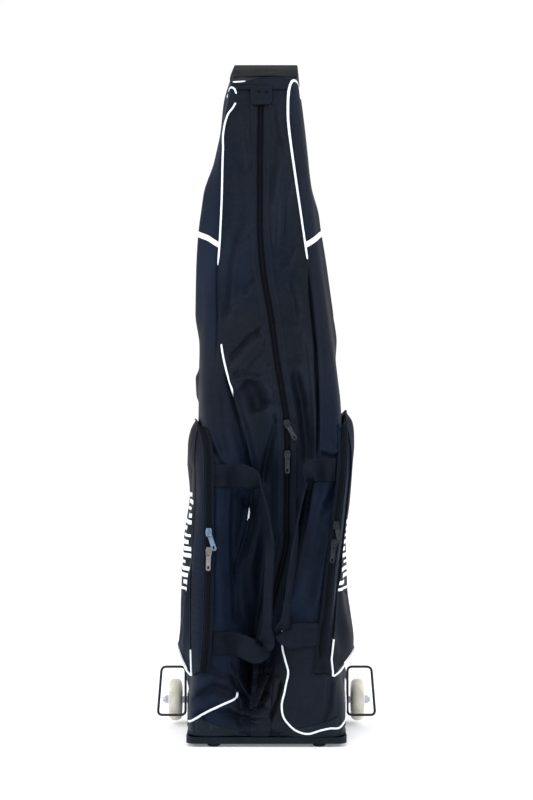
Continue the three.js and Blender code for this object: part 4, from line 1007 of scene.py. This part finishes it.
def closed_ends(rows, drop):
    """Adds rows at both ends of a pocket that turn in to meet the shell."""
    ends = []
    for edge, rise in ((rows[0], drop), (rows[-1], -drop)):
        target = np.array([onto_shell(p + (0, 0, rise)) for p in edge])
        turned_in = []
        for t in (0.35, 0.7, 1):
            bow = (0, 0, rise * 0.12 * math.sin(math.pi * t))
            turned_in.append(edge + t * (target - edge) - bow)
        ends.append(turned_in)
    return np.concatenate([np.array(ends[0][::-1]), rows, np.array(ends[1])])


def on_pocket(rows, places, z, place, lift):
    """Point of a pocket's surface at a height and a place across its lines."""
    column = np.interp(place, places, np.arange(len(places)))
    low, share = int(column), column - int(column)
    high = min(low + 1, len(places) - 1)
    line = rows[:, low] + share * (rows[:, high] - rows[:, low])
    step = rows[:, high] - rows[:, low] if high > low else rows[:, low] - rows[:, low - 1]
    k = int(np.clip(np.searchsorted(line[:, 2], z), 1, len(line) - 1))
    run = (z - line[k - 1, 2]) / (line[k, 2] - line[k - 1, 2])
    along = line[k] - line[k - 1]
    out = np.cross(step[k], along)
    return line[k - 1] + run * along + lift * out / np.linalg.norm(out)


def make_pocket(side):
    sign = -1 if side == "left" else 1
    surface, places = pocket_surface(side)
    flip = slice(None) if sign > 0 else slice(None, None, -1)
    rows = surface[:, flip]
    places = places[flip]
    body = sheet(f"pocket_cloth_{side}", closed_ends(rows, 12), 1.5, POCKET, slot="nylon")
    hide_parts(f"pocket_{side}")

    order = np.argsort(places)
    ordered, steps = rows[:, order], places[order]
    edge = int(np.argmin(np.abs(steps - 3)))
    front_edge = ordered[:, edge] + (sign * 0.6, -0.9, 0)
    white = front_edge[front_edge[:, 2] < WHITE_TIP[side]][::-1]
    far = int(np.argmin(np.abs(steps - 5)))
    tip = np.concatenate([white, ordered[0, edge + 1:far:3] + (sign * 1.4, -0.9, -2.2)])
    tube(f"pocket_tip_{side}", smooth_path(tip[::2], 160), 1.7, PIPING, slot="reflective_white")
    dark = front_edge[front_edge[:, 2] >= WHITE_TIP[side]]
    top = ordered[-1, edge + 1:far:3] + (sign * 0.5, -0.5, 1.0)
    tube(f"pocket_edge_{side}", smooth_path(np.concatenate([dark[::3], top]), 260), 1.5, NYLON, slot="nylon")

    low, high, count = PRINT_BARS[side]
    bars = []
    for n, z in enumerate(np.linspace(low, high, count)):
        reach = BAR_REACH[n % len(BAR_REACH)]
        tall = (0.34 if n % 4 else 0.22) * (high - low) / count
        grid = [[on_pocket(ordered, steps, z + dz, place, sign * 0.7) for place in np.linspace(*reach, 9)]
                for dz in (-tall, 0, tall)]
        grid = np.array(grid)
        bars.append(grid if sign > 0 else grid[:, ::-1])
    sheets(f"pocket_print_{side}", bars, 0.4, PRINT, slot="reflective_white")
    make_pocket_zip(side)


def make_pocket_zip(side):
    knots = POCKET_ZIPS[side]
    line = cubic(knots, np.linspace(knots[0][0] - 2, knots[-1][0], 150))
    rows = zip_strip(line, -POCKET_TAPE_HALF, POCKET_TAPE_HALF, 0.3, 7)
    tape = sheet(f"pocket_tape_{side}", rows, 0.9, TAPE, inward=(0, 1, 0), slot="zip_tape")
    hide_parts(f"pocket_zip_{side}")
    coil(f"pocket_coil_{side}", line, 2.4, 1.5, 2.4)
    for tag, x in (("in", 5.6), ("out", -5.6)):
        stitches(f"pocket_stitch_{side}_{tag}", line + (x, -0.7, 0))
    for tag, x in (("in", 8.0), ("out", -8.0)):
        tube(f"pocket_fold_{side}_{tag}", line + (x, 0.1, 0), 0.9, NYLON, sides=8, slot="nylon")


for pocket_side in ("left", "right"):
    make_pocket(pocket_side)

# ---------------------------------------------------------------- handles
# A loop is a list of (centre, way of its width, width, thickness)
UPRIGHT = (0, 0, 1)


def sewn(x, z):
    """End of a handle's loop, where it leaves the patch that it is sewn down with."""
    return (x, float(front_y(x, z, 6, BARE)), z)


def patch(x, z, stand):
    """Centre of the strap on its patch, flat against the cloth."""
    return (x, float(min(front_y(x, z + dz, stand) for dz in (-18, 0, 18))), z)


LEFT_LOOP = [
    (sewn(-59, 460), UPRIGHT, 40, 2.4), ((-42, -84, 460), UPRIGHT, 40, 2.4),
    ((-11, -97, 447), (-0.45, -0.35, 0.8), 38, 2.4), ((2, -106, 414), (-0.3, -0.9, 0.3), 30, 3),
    ((6, -112, 372), (0.1, -1, 0), 23, 4.5), ((6, -118, 330), (0.75, -0.66, 0), 19, 5),
    ((3, -121, 265), (0.77, -0.64, 0), 19, 5), ((1, -121, 205), (0.77, -0.64, 0), 20, 5),
    ((-1, -119, 178), (0.7, -0.3, 0.6), 32, 3), ((-16, -115, 162), (0.28, 0, 0.96), 40, 2.4),
    ((-40, -101, 169), (0.15, 0, 0.98), 40, 2.4), (sewn(-59, 173), UPRIGHT, 40, 2.4),
]
RIGHT_LOOP = [
    (sewn(89, 470), UPRIGHT, 40, 2.4), ((76, -86, 468), (0.05, -0.05, 1), 40, 2.4),
    ((61, -94, 444), (0.5, -0.4, 0.75), 36, 2.4), ((55, -102, 402), (0.2, -0.95, 0.1), 28, 3),
    ((50, -110, 352), (-0.3, -0.95, 0), 23, 4.5), ((43, -116, 300), (-0.5, -0.86, 0), 20, 5),
    ((36, -119, 250), (-0.5, -0.86, 0), 20, 5), ((32, -120, 218), (-0.5, -0.8, 0.3), 25, 4),
    ((29, -119, 198), (-0.2, -0.1, 0.95), 36, 3), ((40, -114, 189), UPRIGHT, 42, 2.4),
    (sewn(62, 189), UPRIGHT, 42, 2.4),
]
# The middle of a handle's sewn ends, in metres in the frame
# side, loop, outer ends of the upper and the lower patch as (x, z), the two x between which a lifted strap
# bends, and how far the line of its sewn ends leans
HANDLES = [
    ("left", LEFT_LOOP, (-91, 460), (-91, 173), (-66, -42), 0.0),
    ("right", RIGHT_LOOP, (119, 470), (92, 189), (80, 58), 0.0953),
]


def make_handle(side, loop, upper, lower, turn, lean):
    sign = -1 if side == "left" else 1
    first, last = loop[0][0], loop[-1][0]
    frames = [(patch(*upper, 1.6), UPRIGHT, 40, 2.2)]
    frames.append((patch(0.5 * (upper[0] + first[0]), upper[1], 2.4), UPRIGHT, 40, 2.2))
    frames += loop
    frames.append((patch(0.5 * (lower[0] + last[0]), lower[1], 2.4), UPRIGHT, 40, 2.2))
    frames.append((patch(*lower, 1.6), UPRIGHT, 40, 2.2))
    strap = ribbon(f"handle_strap_{side}", frames, WEBBING, steps=260, body=None, slot="webbing")
    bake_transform(strap)
    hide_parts(f"handle_{side}")
    for level, (x, z), inner in (("upper", upper, first), ("lower", lower, last)):
        ends = [(x - sign * 2, z), (inner[0] + sign * 3, z)]
        depth = [patch(*ends[0], 2.9)[1], patch(*ends[1], 4.0)[1]]
        depth[1] = min(depth[1], inner[1] + 0.6)
        across = np.linspace(ends[0][0], ends[1][0], 9)
        y = np.interp(np.abs(across - ends[0][0]), [0, abs(ends[1][0] - ends[0][0])], depth) - 0.9
        for k, dz in enumerate((17.5, 14.5, -14.5, -17.5)):
            row = np.stack([across, y, z + dz + 0 * y], axis=1)
            stitches(f"patch_{side}_{level}_{k}", row, pitch=3.4, length=2.3)
        for k, spot in enumerate((0, 8)):
            down = np.array([(across[spot], y[spot], z + dz) for dz in (-17, 0, 17)])
            stitches(f"patch_{side}_{level}_end{k}", down, pitch=3.4, length=2.3)


for handle in HANDLES:
    make_handle(*handle)

# ---------------------------------------------------------------- top end
TOP_NORMAL = np.array([0, -TOP_SLOPE, 1]) / math.hypot(TOP_SLOPE, 1)
# Height of the cloth's upper edge above the top panel, by x
LIP = [(-64, 4), (-46, 5), (-32, 6.5), (-20, 10), (-8, 12.5), (12, 13), (28, 11.5), (44, 9), (52, 4)]


def lid(name, outline, lean, thickness, crown, mat, **kw):
    """A crowned panel that fills a closed outline."""
    outline = np.asarray(outline, float)
    centre = outline.mean(axis=0)
    count = len(outline)
    shares = [0.25, 0.5, 0.72, 0.86, 0.94, 1.0]
    faces, points = [], [centre + lean * (crown + thickness), centre]
    for side, height in enumerate((thickness, 0.0)):
        for share in shares:
            rise = height + crown * (1 - share * share) * (1 - side)
            points += list(centre + share * (outline - centre) + lean * rise)
    size = len(shares) * count
    for side in (0, 1):
        start = 2 + side * size
        for k in range(count):
            after = (k + 1) % count
            tri = (side, start + k, start + after)
            faces.append(tri if side == 0 else tri[::-1])
            for r in range(len(shares) - 1):
                a = start + r * count
                quad = (a + k, a + count + k, a + count + after, a + after)
                faces.append(quad if side == 0 else quad[::-1])
    for k in range(count):
        after = (k + 1) % count
        edge = 2 + size - count
        faces.append((edge + k, edge + size + k, edge + size + after, edge + after))
    return mesh_piece(name, points, faces, mat, **kw)


def make_lip():
    """The cloth's upper edge stands above the top panel in front of it."""
    place = np.linspace(NAMES.index("piping_left") - 0.15, NAMES.index("piping_right") + 0.3, 90)
    base = shell(place, [TOP_Z])[0]
    high = np.interp(base[:, 0], *zip(*LIP))
    rows = []
    for t in np.linspace(0, 1, 10):
        line = base.copy()
        line[:, 2] += -9 + t * (9 + high)
        line[:, 1] += 2.5 * t * t - 2.34 * (1 - t) - 1.5
        rows.append(line)
    sheet("top_lip", np.array(rows), 1.4, NYLON, slot="nylon")
    edge = rows[-1] + (0, 0.7, 0)
    tube("top_lip_hem", edge, 1.1, NYLON, sides=10, slot="nylon")
    corner = edge[(edge[:, 0] > -60) & (edge[:, 0] < -37)] + (0, -0.8, 0.3)
    width = np.interp(np.arange(40), [0, 8, 30, 39], [1.2, 1.8, 1.6, 0.5])
    tube("top_corner_piping", smooth_path(corner, 40), width, PIPING, slot="reflective_white")


# Height of the grab handle's strap above the top panel, by x
GRAB_RISE = [(-58, 3.6), (-46, 3.6), (-34, 4.4), (-18, 5.6), (0, 6.2), (18, 5.6), (34, 4.4), (46, 3.6),
             (55, 3.6)]


def make_top():
    outline = shell_points(np.linspace(0, 11, 120), [TOP_Z])[0] + TOP_NORMAL * 0.6
    back = np.linspace(outline[-1], outline[0], 12)[1:-1]
    closed = np.concatenate([outline, back])
    panel_piece = lid("top_panel", closed, TOP_NORMAL, 2.4, 1.6, TOP_CLOTH_LIT, slot="nylon")
    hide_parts("top_end_panel")
    tube("top_hem", closed + TOP_NORMAL * 1.0, 1.7, TOP_CLOTH_LIT, closed=True, slot="nylon")
    make_lip()
    middle = np.array([-1, TOP_Y + 36, TOP_Z + 36 * TOP_SLOPE])
    frames = []
    for x, rise in GRAB_RISE:
        frames.append((middle + (x, 0, 0) + TOP_NORMAL * rise, (0, 1, TOP_SLOPE), 36, 2.2))
    strap = ribbon("grab_strap", frames, GRAB, steps=90, slot="webbing")
    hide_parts("grab_handle")
    along = np.array([0, 1, TOP_SLOPE]) / math.hypot(1, TOP_SLOPE)
    for tag, x0, x1 in (("left", -58, -47), ("right", 44, 54)):
        base = middle + TOP_NORMAL * 5.0
        corners = ((x0, -15), (x1, -15), (x1, 15), (x0, 15), (x0, -15), (x1, 15))
        box = [base + (x, 0, 0) + along * w for x, w in corners]
        stitches(f"grab_box_{tag}", box, pitch=3.2, length=2.2, normal=TOP_NORMAL, mat=THREAD_PALE)


make_top()

TAB = {"top": 1148, "length": 34, "half": 18.5, "x": -10, "stand": 4.5, "corner": 9}


def make_tab():
    at = seam_at("zip_left", [TAB["top"]])[0]
    below = seam_at("zip_left", [1100])[0]
    lean = (at[1] - below[1]) / (TAB["top"] - 1100)
    rows = []
    for drop in np.linspace(0, TAB["length"], 25):
        left = TAB["length"] - drop
        corner = TAB["corner"]
        inset = corner - math.sqrt(max(corner**2 - max(corner - left, 0) ** 2, 0))
        half = TAB["half"] - inset * 0.9
        x = np.linspace(-half, half, 21)
        bow = 1.6 * (1 - (x / TAB["half"]) ** 2) - 0.9 * np.sin(drop / TAB["length"] * math.pi)
        y = at[1] - TAB["stand"] - 1.2 - lean * drop - bow
        rows.append(np.stack([TAB["x"] + x + 0.05 * drop, y, TAB["top"] - drop + 0.05 * x], axis=1))
    rows = np.array(rows[::-1])
    piece = sheet("zip_flap", rows, 2.2, NYLON, inward=(0, 1, 0), body="zip_tab", slot="nylon")
    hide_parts("zip_tab")
    ring = [rows[3, c] for c in range(3, 18, 2)] + [rows[r, 17] for r in range(5, 22, 2)]
    ring += [rows[21, c] for c in range(16, 2, -2)] + [rows[r, 3] for r in range(21, 2, -2)]
    stitches("zip_flap_stitch", np.array(ring) - (0, 0.3, 0), pitch=3.2, length=2.2, body="zip_tab")
    for tag, row, column in (("a", 17, 8), ("b", 16, 15)):
        dome = [(-1.9, 0.01), (-1.8, 0.9), (-1.3, 1.9), (-0.4, 2.6), (0.6, 2.7)]
        turned(f"zip_flap_rivet_{tag}", dome, rows[row, column], ZIP_PLASTIC, axis="y", segments=20,
               closed=False, body="zip_tab", slot="zinc")


make_tab()

# ---------------------------------------------------------------- reflective bands, back, hems


def make_bands():
    for side, outer, inner in (("left", "side_left", "piping_left"), ("right", "side_right", "piping_right")):
        share = np.linspace(0, 1, 25)
        places = NAMES.index(outer) + share * (NAMES.index(inner) - NAMES.index(outer))
        lines = []
        for dz in (-5, -2.5, 0, 2.5, 5):
            line = [shell([p], [888 - 26 * q + dz])[0, 0] for p, q in zip(places, share)]
            lines.append(line)
        rows = np.array(lines)
        if side == "right":
            rows = rows[:, ::-1]
        rows = rows + grid_normals(rows) * 1.0
        piece = sheet(f"reflective_strip_{side}", rows, 0.8, REFLECTIVE, slot="reflective_white")
        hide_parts(f"reflective_band_{side}")


BACK_Y = 104.0
PUFF_FROM, PUFF_STEP = 45, 287.5
BACK_SEAMS = (330, 620, 905)
BACK_PATCH_TOP = 214


def back_y(points):
    """Y of the back cloth: it is stretched over a board, and puffs a little between its rows of stitches."""
    x, z = points[..., 0], points[..., 2]
    left, right = (np.interp(z, *np.array(SEAMS[name])[:, :2].T) for name in ("back_left", "back_right"))
    share = np.clip((x - left) / (right - left), 0, 1)
    puff = np.abs(np.sin(math.pi * (z - PUFF_FROM) / PUFF_STEP)) ** 0.5 * np.sin(math.pi * share) ** 0.4
    return BACK_Y + 1.5 * puff + 0.35 * np.sin(z / 23.0 + 9 * share) * np.sin(math.pi * share)


def make_back():
    z = np.linspace(SHELL_BOTTOM, 1190, 150)
    left, right = seam_at("back_left", z), seam_at("back_right", z)
    share = np.linspace(0, 1, 40)[None, :, None]
    rows = right[:, None] + share * (left - right)[:, None]
    rows[..., 1] = back_y(rows)
    piece = sheet("back_cloth", rows, 1.5, BACK_CLOTH_LIT, inward=(0, -1, 0), slot="nylon")
    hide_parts("back_panel")
    low = rows[(z > SHELL_BOTTOM + 4) & (z < BACK_PATCH_TOP), 1:-1] + (0, 0.9, 0)
    sheet("back_patch", low, 0.8, POCKET, inward=(0, -1, 0), slot="nylon")
    tube("back_patch_edge", low[-1] + (0, 0.3, 0), 1.6, WEBBING, slot="webbing")
    for tag, line, sign in (("left", left, 1), ("right", right, -1)):
        tube(f"back_piping_{tag}", line + (0, 2.0, 0), 1.9, NYLON, slot="nylon")
        for k, inset in enumerate((7, 34)):
            path = line + (sign * inset, 0, 0)
            path[:, 1] = back_y(path) + 0.2
            stitches(f"back_stitch_{tag}_{k}", path, normal=(0, 1, 0), mat=THREAD_PALE)
    for k, height in enumerate(BACK_SEAMS):
        ends = [seam_at("back_left", [height])[0] + (8, 0, 0), seam_at("back_right", [height])[0] - (8, 0, 0)]
        for j, dz in enumerate((-4, 4)):
            path = np.linspace(ends[0], ends[1], 40) + (0, 0, dz)
            path[:, 1] = back_y(path) + 0.2
            stitches(f"back_cross_{k}_{j}", path, normal=(0, 1, 0), mat=THREAD_PALE)


COVER_TOP = 116
COVER_FOLDS = [
    ("ridge", 4, 7, [(-22, 108), (-14, 86), (-20, 66)]),
    ("ridge", 5, 6, [(16, 108), (8, 84), (-6, 62)]),
    ("valley", 4, 7, [(0, 108), (-4, 86), (-14, 66)]),
    ("crease", 3, 6, [(-20, 92), (-6, 84), (14, 88)]),
    ("crease", 3, 5, [(-26, 62), (-8, 66), (6, 58)]),
    ("ridge", 5, 5, [(-16, 54), (2, 48), (20, 52)]),
]


def make_zip_cover():
    """The lower end of the zip is sewn over with one piece of cloth, which crumples on the tray."""
    across = np.linspace(-1, 1, 60)
    place = np.linspace(NAMES.index("zip_left") - 0.45, NAMES.index("zip_right") + 0.45, len(across))
    heights = np.linspace(SHELL_BOTTOM, COVER_TOP, 80)
    rows = shell(place, heights)
    middle = 1 - np.abs(across) ** 3
    puff = 5.5 * middle + 0.9
    crumple = fold_height(rows[..., 0], rows[..., 2], COVER_FOLDS)
    rows[..., 1] -= puff * np.clip((COVER_TOP + 4 - heights) / 26, 0.35, 1)[:, None] + crumple * middle
    sheet("zip_cover", rows, 1.4, NYLON, slot="nylon")
    tube("zip_cover_hem", rows[-1] + (0, 0.4, 0), 1.3, NYLON, sides=10, slot="nylon")


RIM_LOW, CORNER_RISE, CORNER_REACH = 3, 30, 34


def make_tray_corners():
    """The tray's cloth-covered rim rises at its two front corners."""
    columns, levels = 60, 18
    for tag, start, end, climb in (("left", 2.0, 3.9, (1, 0)), ("right", 7.1, 9.0, (0, 1))):
        places = np.linspace(start, end, columns)
        rise = CORNER_RISE * np.linspace(*climb, columns) ** 2.2
        lines = shell(places, np.linspace(SHELL_BOTTOM, SHELL_BOTTOM + CORNER_REACH, levels))
        share = np.linspace(0, 1, 12)[:, None]
        steps = share * (RIM_LOW + rise)[None, :] / CORNER_REACH * (levels - 1)
        low = np.clip(steps.astype(int), 0, levels - 2)
        part = (steps - low)[..., None]
        index = np.arange(columns)[None, :]
        rows = lines[low, index] * (1 - part) + lines[low + 1, index] * part
        rows += grid_normals(rows) * 1.6
        sheet(f"tray_corner_{tag}", rows, 0.8, TRAY, slot="nylon")


# tag, seam, way out from it, lowest and highest stitch
SEAM_STITCHES = [
    ("left", "piping_left", -1, 560, 1080),
    ("right", "piping_right", 1, 500, 1100),
    ("right_low", "piping_right", 1, 110, 250),
]


def make_hems():
    bottom = shell(np.linspace(0, 11, 300), [SHELL_BOTTOM + 1.2])[0]
    tube("hem_bottom", bottom, 1.7, NYLON_SIDE_LIT, sides=10, hint=(0, 0, 1), slot="nylon")
    make_zip_cover()
    make_tray_corners()
    for tag, name, sign, low, high in SEAM_STITCHES:
        z = np.linspace(low, high, int((high - low) / 8))
        seam = seam_on_shell(name, z)
        path = seam + (sign * 5.5, 0, 0)
        path[:, 1] = front_y(path[:, 0], path[:, 2], 0.5)
        stitches(f"seam_stitch_{tag}", path)


make_bands()
make_back()
make_hems()

# ---------------------------------------------------------------- wheels and guard hoops
WHEEL = {"x": 166, "y": 112, "z": 43, "radius": 38, "width": 24, "hub": 23.7, "hub_width": 20}
BEARING = {"bore": 4.06, "radius": 11, "width": 6.4, "start": 3.4}
HOOP = {"y": 70, "rod": 2.3, "inner": 146, "top_x": 189, "bottom_x": 196, "bottom": 22, "top": 109, "bend": 9}


def make_wheel(side, sign):
    body = f"wheel_{side}"
    centre = (sign * WHEEL["x"], WHEEL["y"], WHEEL["z"])
    half = WHEEL["width"] / 2
    tread = []
    for turn in np.linspace(-math.pi / 2, math.pi / 2, 25):
        tread.append((half * math.sin(turn), 27 + (WHEEL["radius"] - 27) * max(math.cos(turn), 0) ** 0.75))
    inner = WHEEL["hub"] + 0.3
    profile = [(-half + 1, inner), (-half + 0.4, 25.4), *tread, (half - 0.4, 25.4), (half - 1, inner)]
    tyre = turned(f"tread_{side}", profile[::-1], centre, URETHANE, segments=96, body=body, slot="urethane")
    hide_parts(f"tyre_{side}")

    wide = WHEEL["hub_width"] / 2
    seat = BEARING["radius"] + 0.15
    core = [(-wide, seat), (-wide, 14.2), (-2.6, 15.0), (-2.6, 19.2), (-wide, 20.0), (-wide, WHEEL["hub"]),
            (wide, WHEEL["hub"]), (wide, 20.0), (2.6, 19.2), (2.6, 15.0), (wide, 14.2), (wide, seat),
            (3.2, seat), (3.2, 9), (-3.2, 9), (-3.2, seat)]
    hub = turned(f"hub_core_{side}", core[::-1], centre, HUB, body=body, slot="hub_plastic", smooth=False)
    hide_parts(f"hub_{side}")
    points, faces = [], []
    for turn in np.linspace(0, 2 * math.pi, 6, endpoint=False):
        base = len(points)
        out = np.array([0, math.cos(turn), math.sin(turn)])
        flat = np.array([0, -math.sin(turn), math.cos(turn)])
        for x in (-wide + 1, wide - 1):
            middle = np.array(centre) + (x, 0, 0)
            for r, w in ((14.0, 1.9), (17.0, 1.2), (20.4, 1.9)):
                points += [middle + out * r - flat * w, middle + out * r + flat * w]
        for k in (0, 2):
            faces += [(base + k, base + k + 1, base + k + 3, base + k + 2),
                      (base + 6 + k, base + 8 + k, base + 9 + k, base + 7 + k),
                      (base + k, base + k + 2, base + k + 8, base + k + 6),
                      (base + k + 1, base + k + 7, base + k + 9, base + k + 3)]
        faces += [(base, base + 6, base + 7, base + 1), (base + 4, base + 5, base + 11, base + 10)]
    mesh_piece(f"hub_fins_{side}", points, faces, HUB, body=body, slot="hub_plastic", smooth=False)
    for place, way in (("inner", -sign), ("outer", sign)):
        x0 = way * BEARING["start"]
        x1 = way * (BEARING["start"] + BEARING["width"])
        shield = x1 - way * 0.7
        bore, rim = BEARING["bore"], BEARING["radius"]
        ring = [(x0, bore), (x0, rim), (x1, rim), (x1, 9.4), (shield, 9.2), (shield, 6.6), (x1, 6.4),
                (x1, bore)]
        ring = ring[::-1] if way > 0 else ring
        bearing = turned(f"bearing_{place}_ring_{side}", ring, centre, ZINC, segments=48, body=body,
                         slot="zinc", smooth=False)
        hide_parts(f"bearing_{place}_{side}")


def make_hoop(side, sign):
    h = HOOP
    corners = np.array([(h["inner"], h["bottom"]), (h["bottom_x"], h["bottom"]), (h["top_x"], h["top"]),
                        (h["inner"], h["top"])], float)
    path = []
    for n, corner in enumerate(corners):
        before, after = corners[n - 1], corners[(n + 1) % 4]
        start = corner + (before - corner) / np.linalg.norm(before - corner) * h["bend"]
        stop = corner + (after - corner) / np.linalg.norm(after - corner) * h["bend"]
        for t in np.linspace(0, 1, 10):
            path.append((1 - t) ** 2 * start + 2 * t * (1 - t) * corner + t * t * stop)
        gap = after + (corner - after) / np.linalg.norm(corner - after) * h["bend"] - stop
        path += [stop + gap * t for t in (0.25, 0.5, 0.75)]
    path = np.array([(sign * x, h["y"], z) for x, z in path])
    hoop = tube(f"hoop_rod_{side}", path, h["rod"], STEEL, sides=20, closed=True, slot="painted_steel")
    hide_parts(f"guard_hoop_{side}")


for wheel_side, wheel_sign in (("left", -1), ("right", 1)):
    make_wheel(wheel_side, wheel_sign)
    make_hoop(wheel_side, wheel_sign)

# ---------------------------------------------------------------- CAD nodes kept, with a finish
# pocket_left_upper_ takes the zip steel with a painted highlight.
KEPT = {
    "base_tray": TRAY, "foot_": RUBBER, "axle_bracket_": STEEL, "axle_bolt_": ZINC, "axle_nut_": ZINC,
    "spacer_": ZINC, "washer_": ZINC, "back_board": TRAY, "pocket_left_upper_": ZIP_METAL_HIGHLIT,
    "pocket_left_lower_": ZIP_SILVER, "main_": ZIP_METAL, "pocket_right_": ZIP_METAL,
}
for node_name, node in frame["nodes"].items():
    for prefix, finish in KEPT.items():
        if node_name.startswith(prefix):
            node.data.materials.clear()
            node.data.materials.append(finish)
            break

# ---------------------------------------------------------------- stage


def add_area(name, place, target, size, power, colour=(1, 1, 1)):
    """A rectangular light at a place, turned to a target. Both and its size are in metres."""
    light = bpy.data.lights.new(name, "AREA")
    light.shape = "RECTANGLE"
    light.size, light.size_y = size
    light.energy = power
    light.color = colour
    lamp = bpy.data.objects.new(name, light)
    bpy.context.scene.collection.objects.link(lamp)
    lamp.location = place
    direction = Vector(target) - Vector(place)
    lamp.rotation_euler = direction.to_track_quat("-Z", "Y").to_euler()


def make_stage():
    mesh = bpy.data.meshes.new("floor")
    reach = 40
    corners = [(-reach, -reach, 0), (reach, -reach, 0), (reach, reach, 0), (-reach, reach, 0)]
    mesh.from_pydata(corners, [], [(0, 1, 2, 3)])
    floor = bpy.data.objects.new("floor", mesh)
    bpy.context.scene.collection.objects.link(floor)
    n = Nodes("floor_pale")
    pale = n.ramp(n.noise(2), (0.88, 0.88, 0.89), (0.92, 0.92, 0.93))
    white = (1, 1, 1, 1)
    finish = n.finish(Base_Color=pale, Roughness=0.9, Emission_Color=white, Emission_Strength=0.16)
    mesh.materials.append(finish)
    sky = bpy.data.worlds.new("studio")
    bpy.context.scene.world = sky
    sky.use_nodes = True
    background = sky.node_tree.nodes["Background"]
    background.inputs["Color"].default_value = (1.0, 1.0, 1.0, 1)
    background.inputs["Strength"].default_value = 1.03
    add_area("left_light", (-3.0, -0.9, 1.7), (0, 0, 0.55), (1.0, 2.4), 52, (0.80, 0.90, 1.0))
    add_area("right_light", (3.0, -1.1, 1.5), (0, 0, 0.55), (1.0, 2.4), 56, (0.80, 0.90, 1.0))
    add_area("high_light", (-0.7, -2.4, 3.2), (0, 0, 0.7), (1.6, 1.0), 30)
    camera = bpy.data.cameras.new("camera")
    camera.lens = 80
    camera.sensor_width = 36
    view = bpy.data.objects.new("camera", camera)
    bpy.context.scene.collection.objects.link(view)
    # in metres
    view.location = (0, -3.137 + CENTRE_Y * MM, 0.590)
    view.rotation_euler = (math.pi / 2, 0, 0)
    bpy.context.scene.camera = view
    bpy.context.scene.view_settings.view_transform = "Standard"


make_stage()
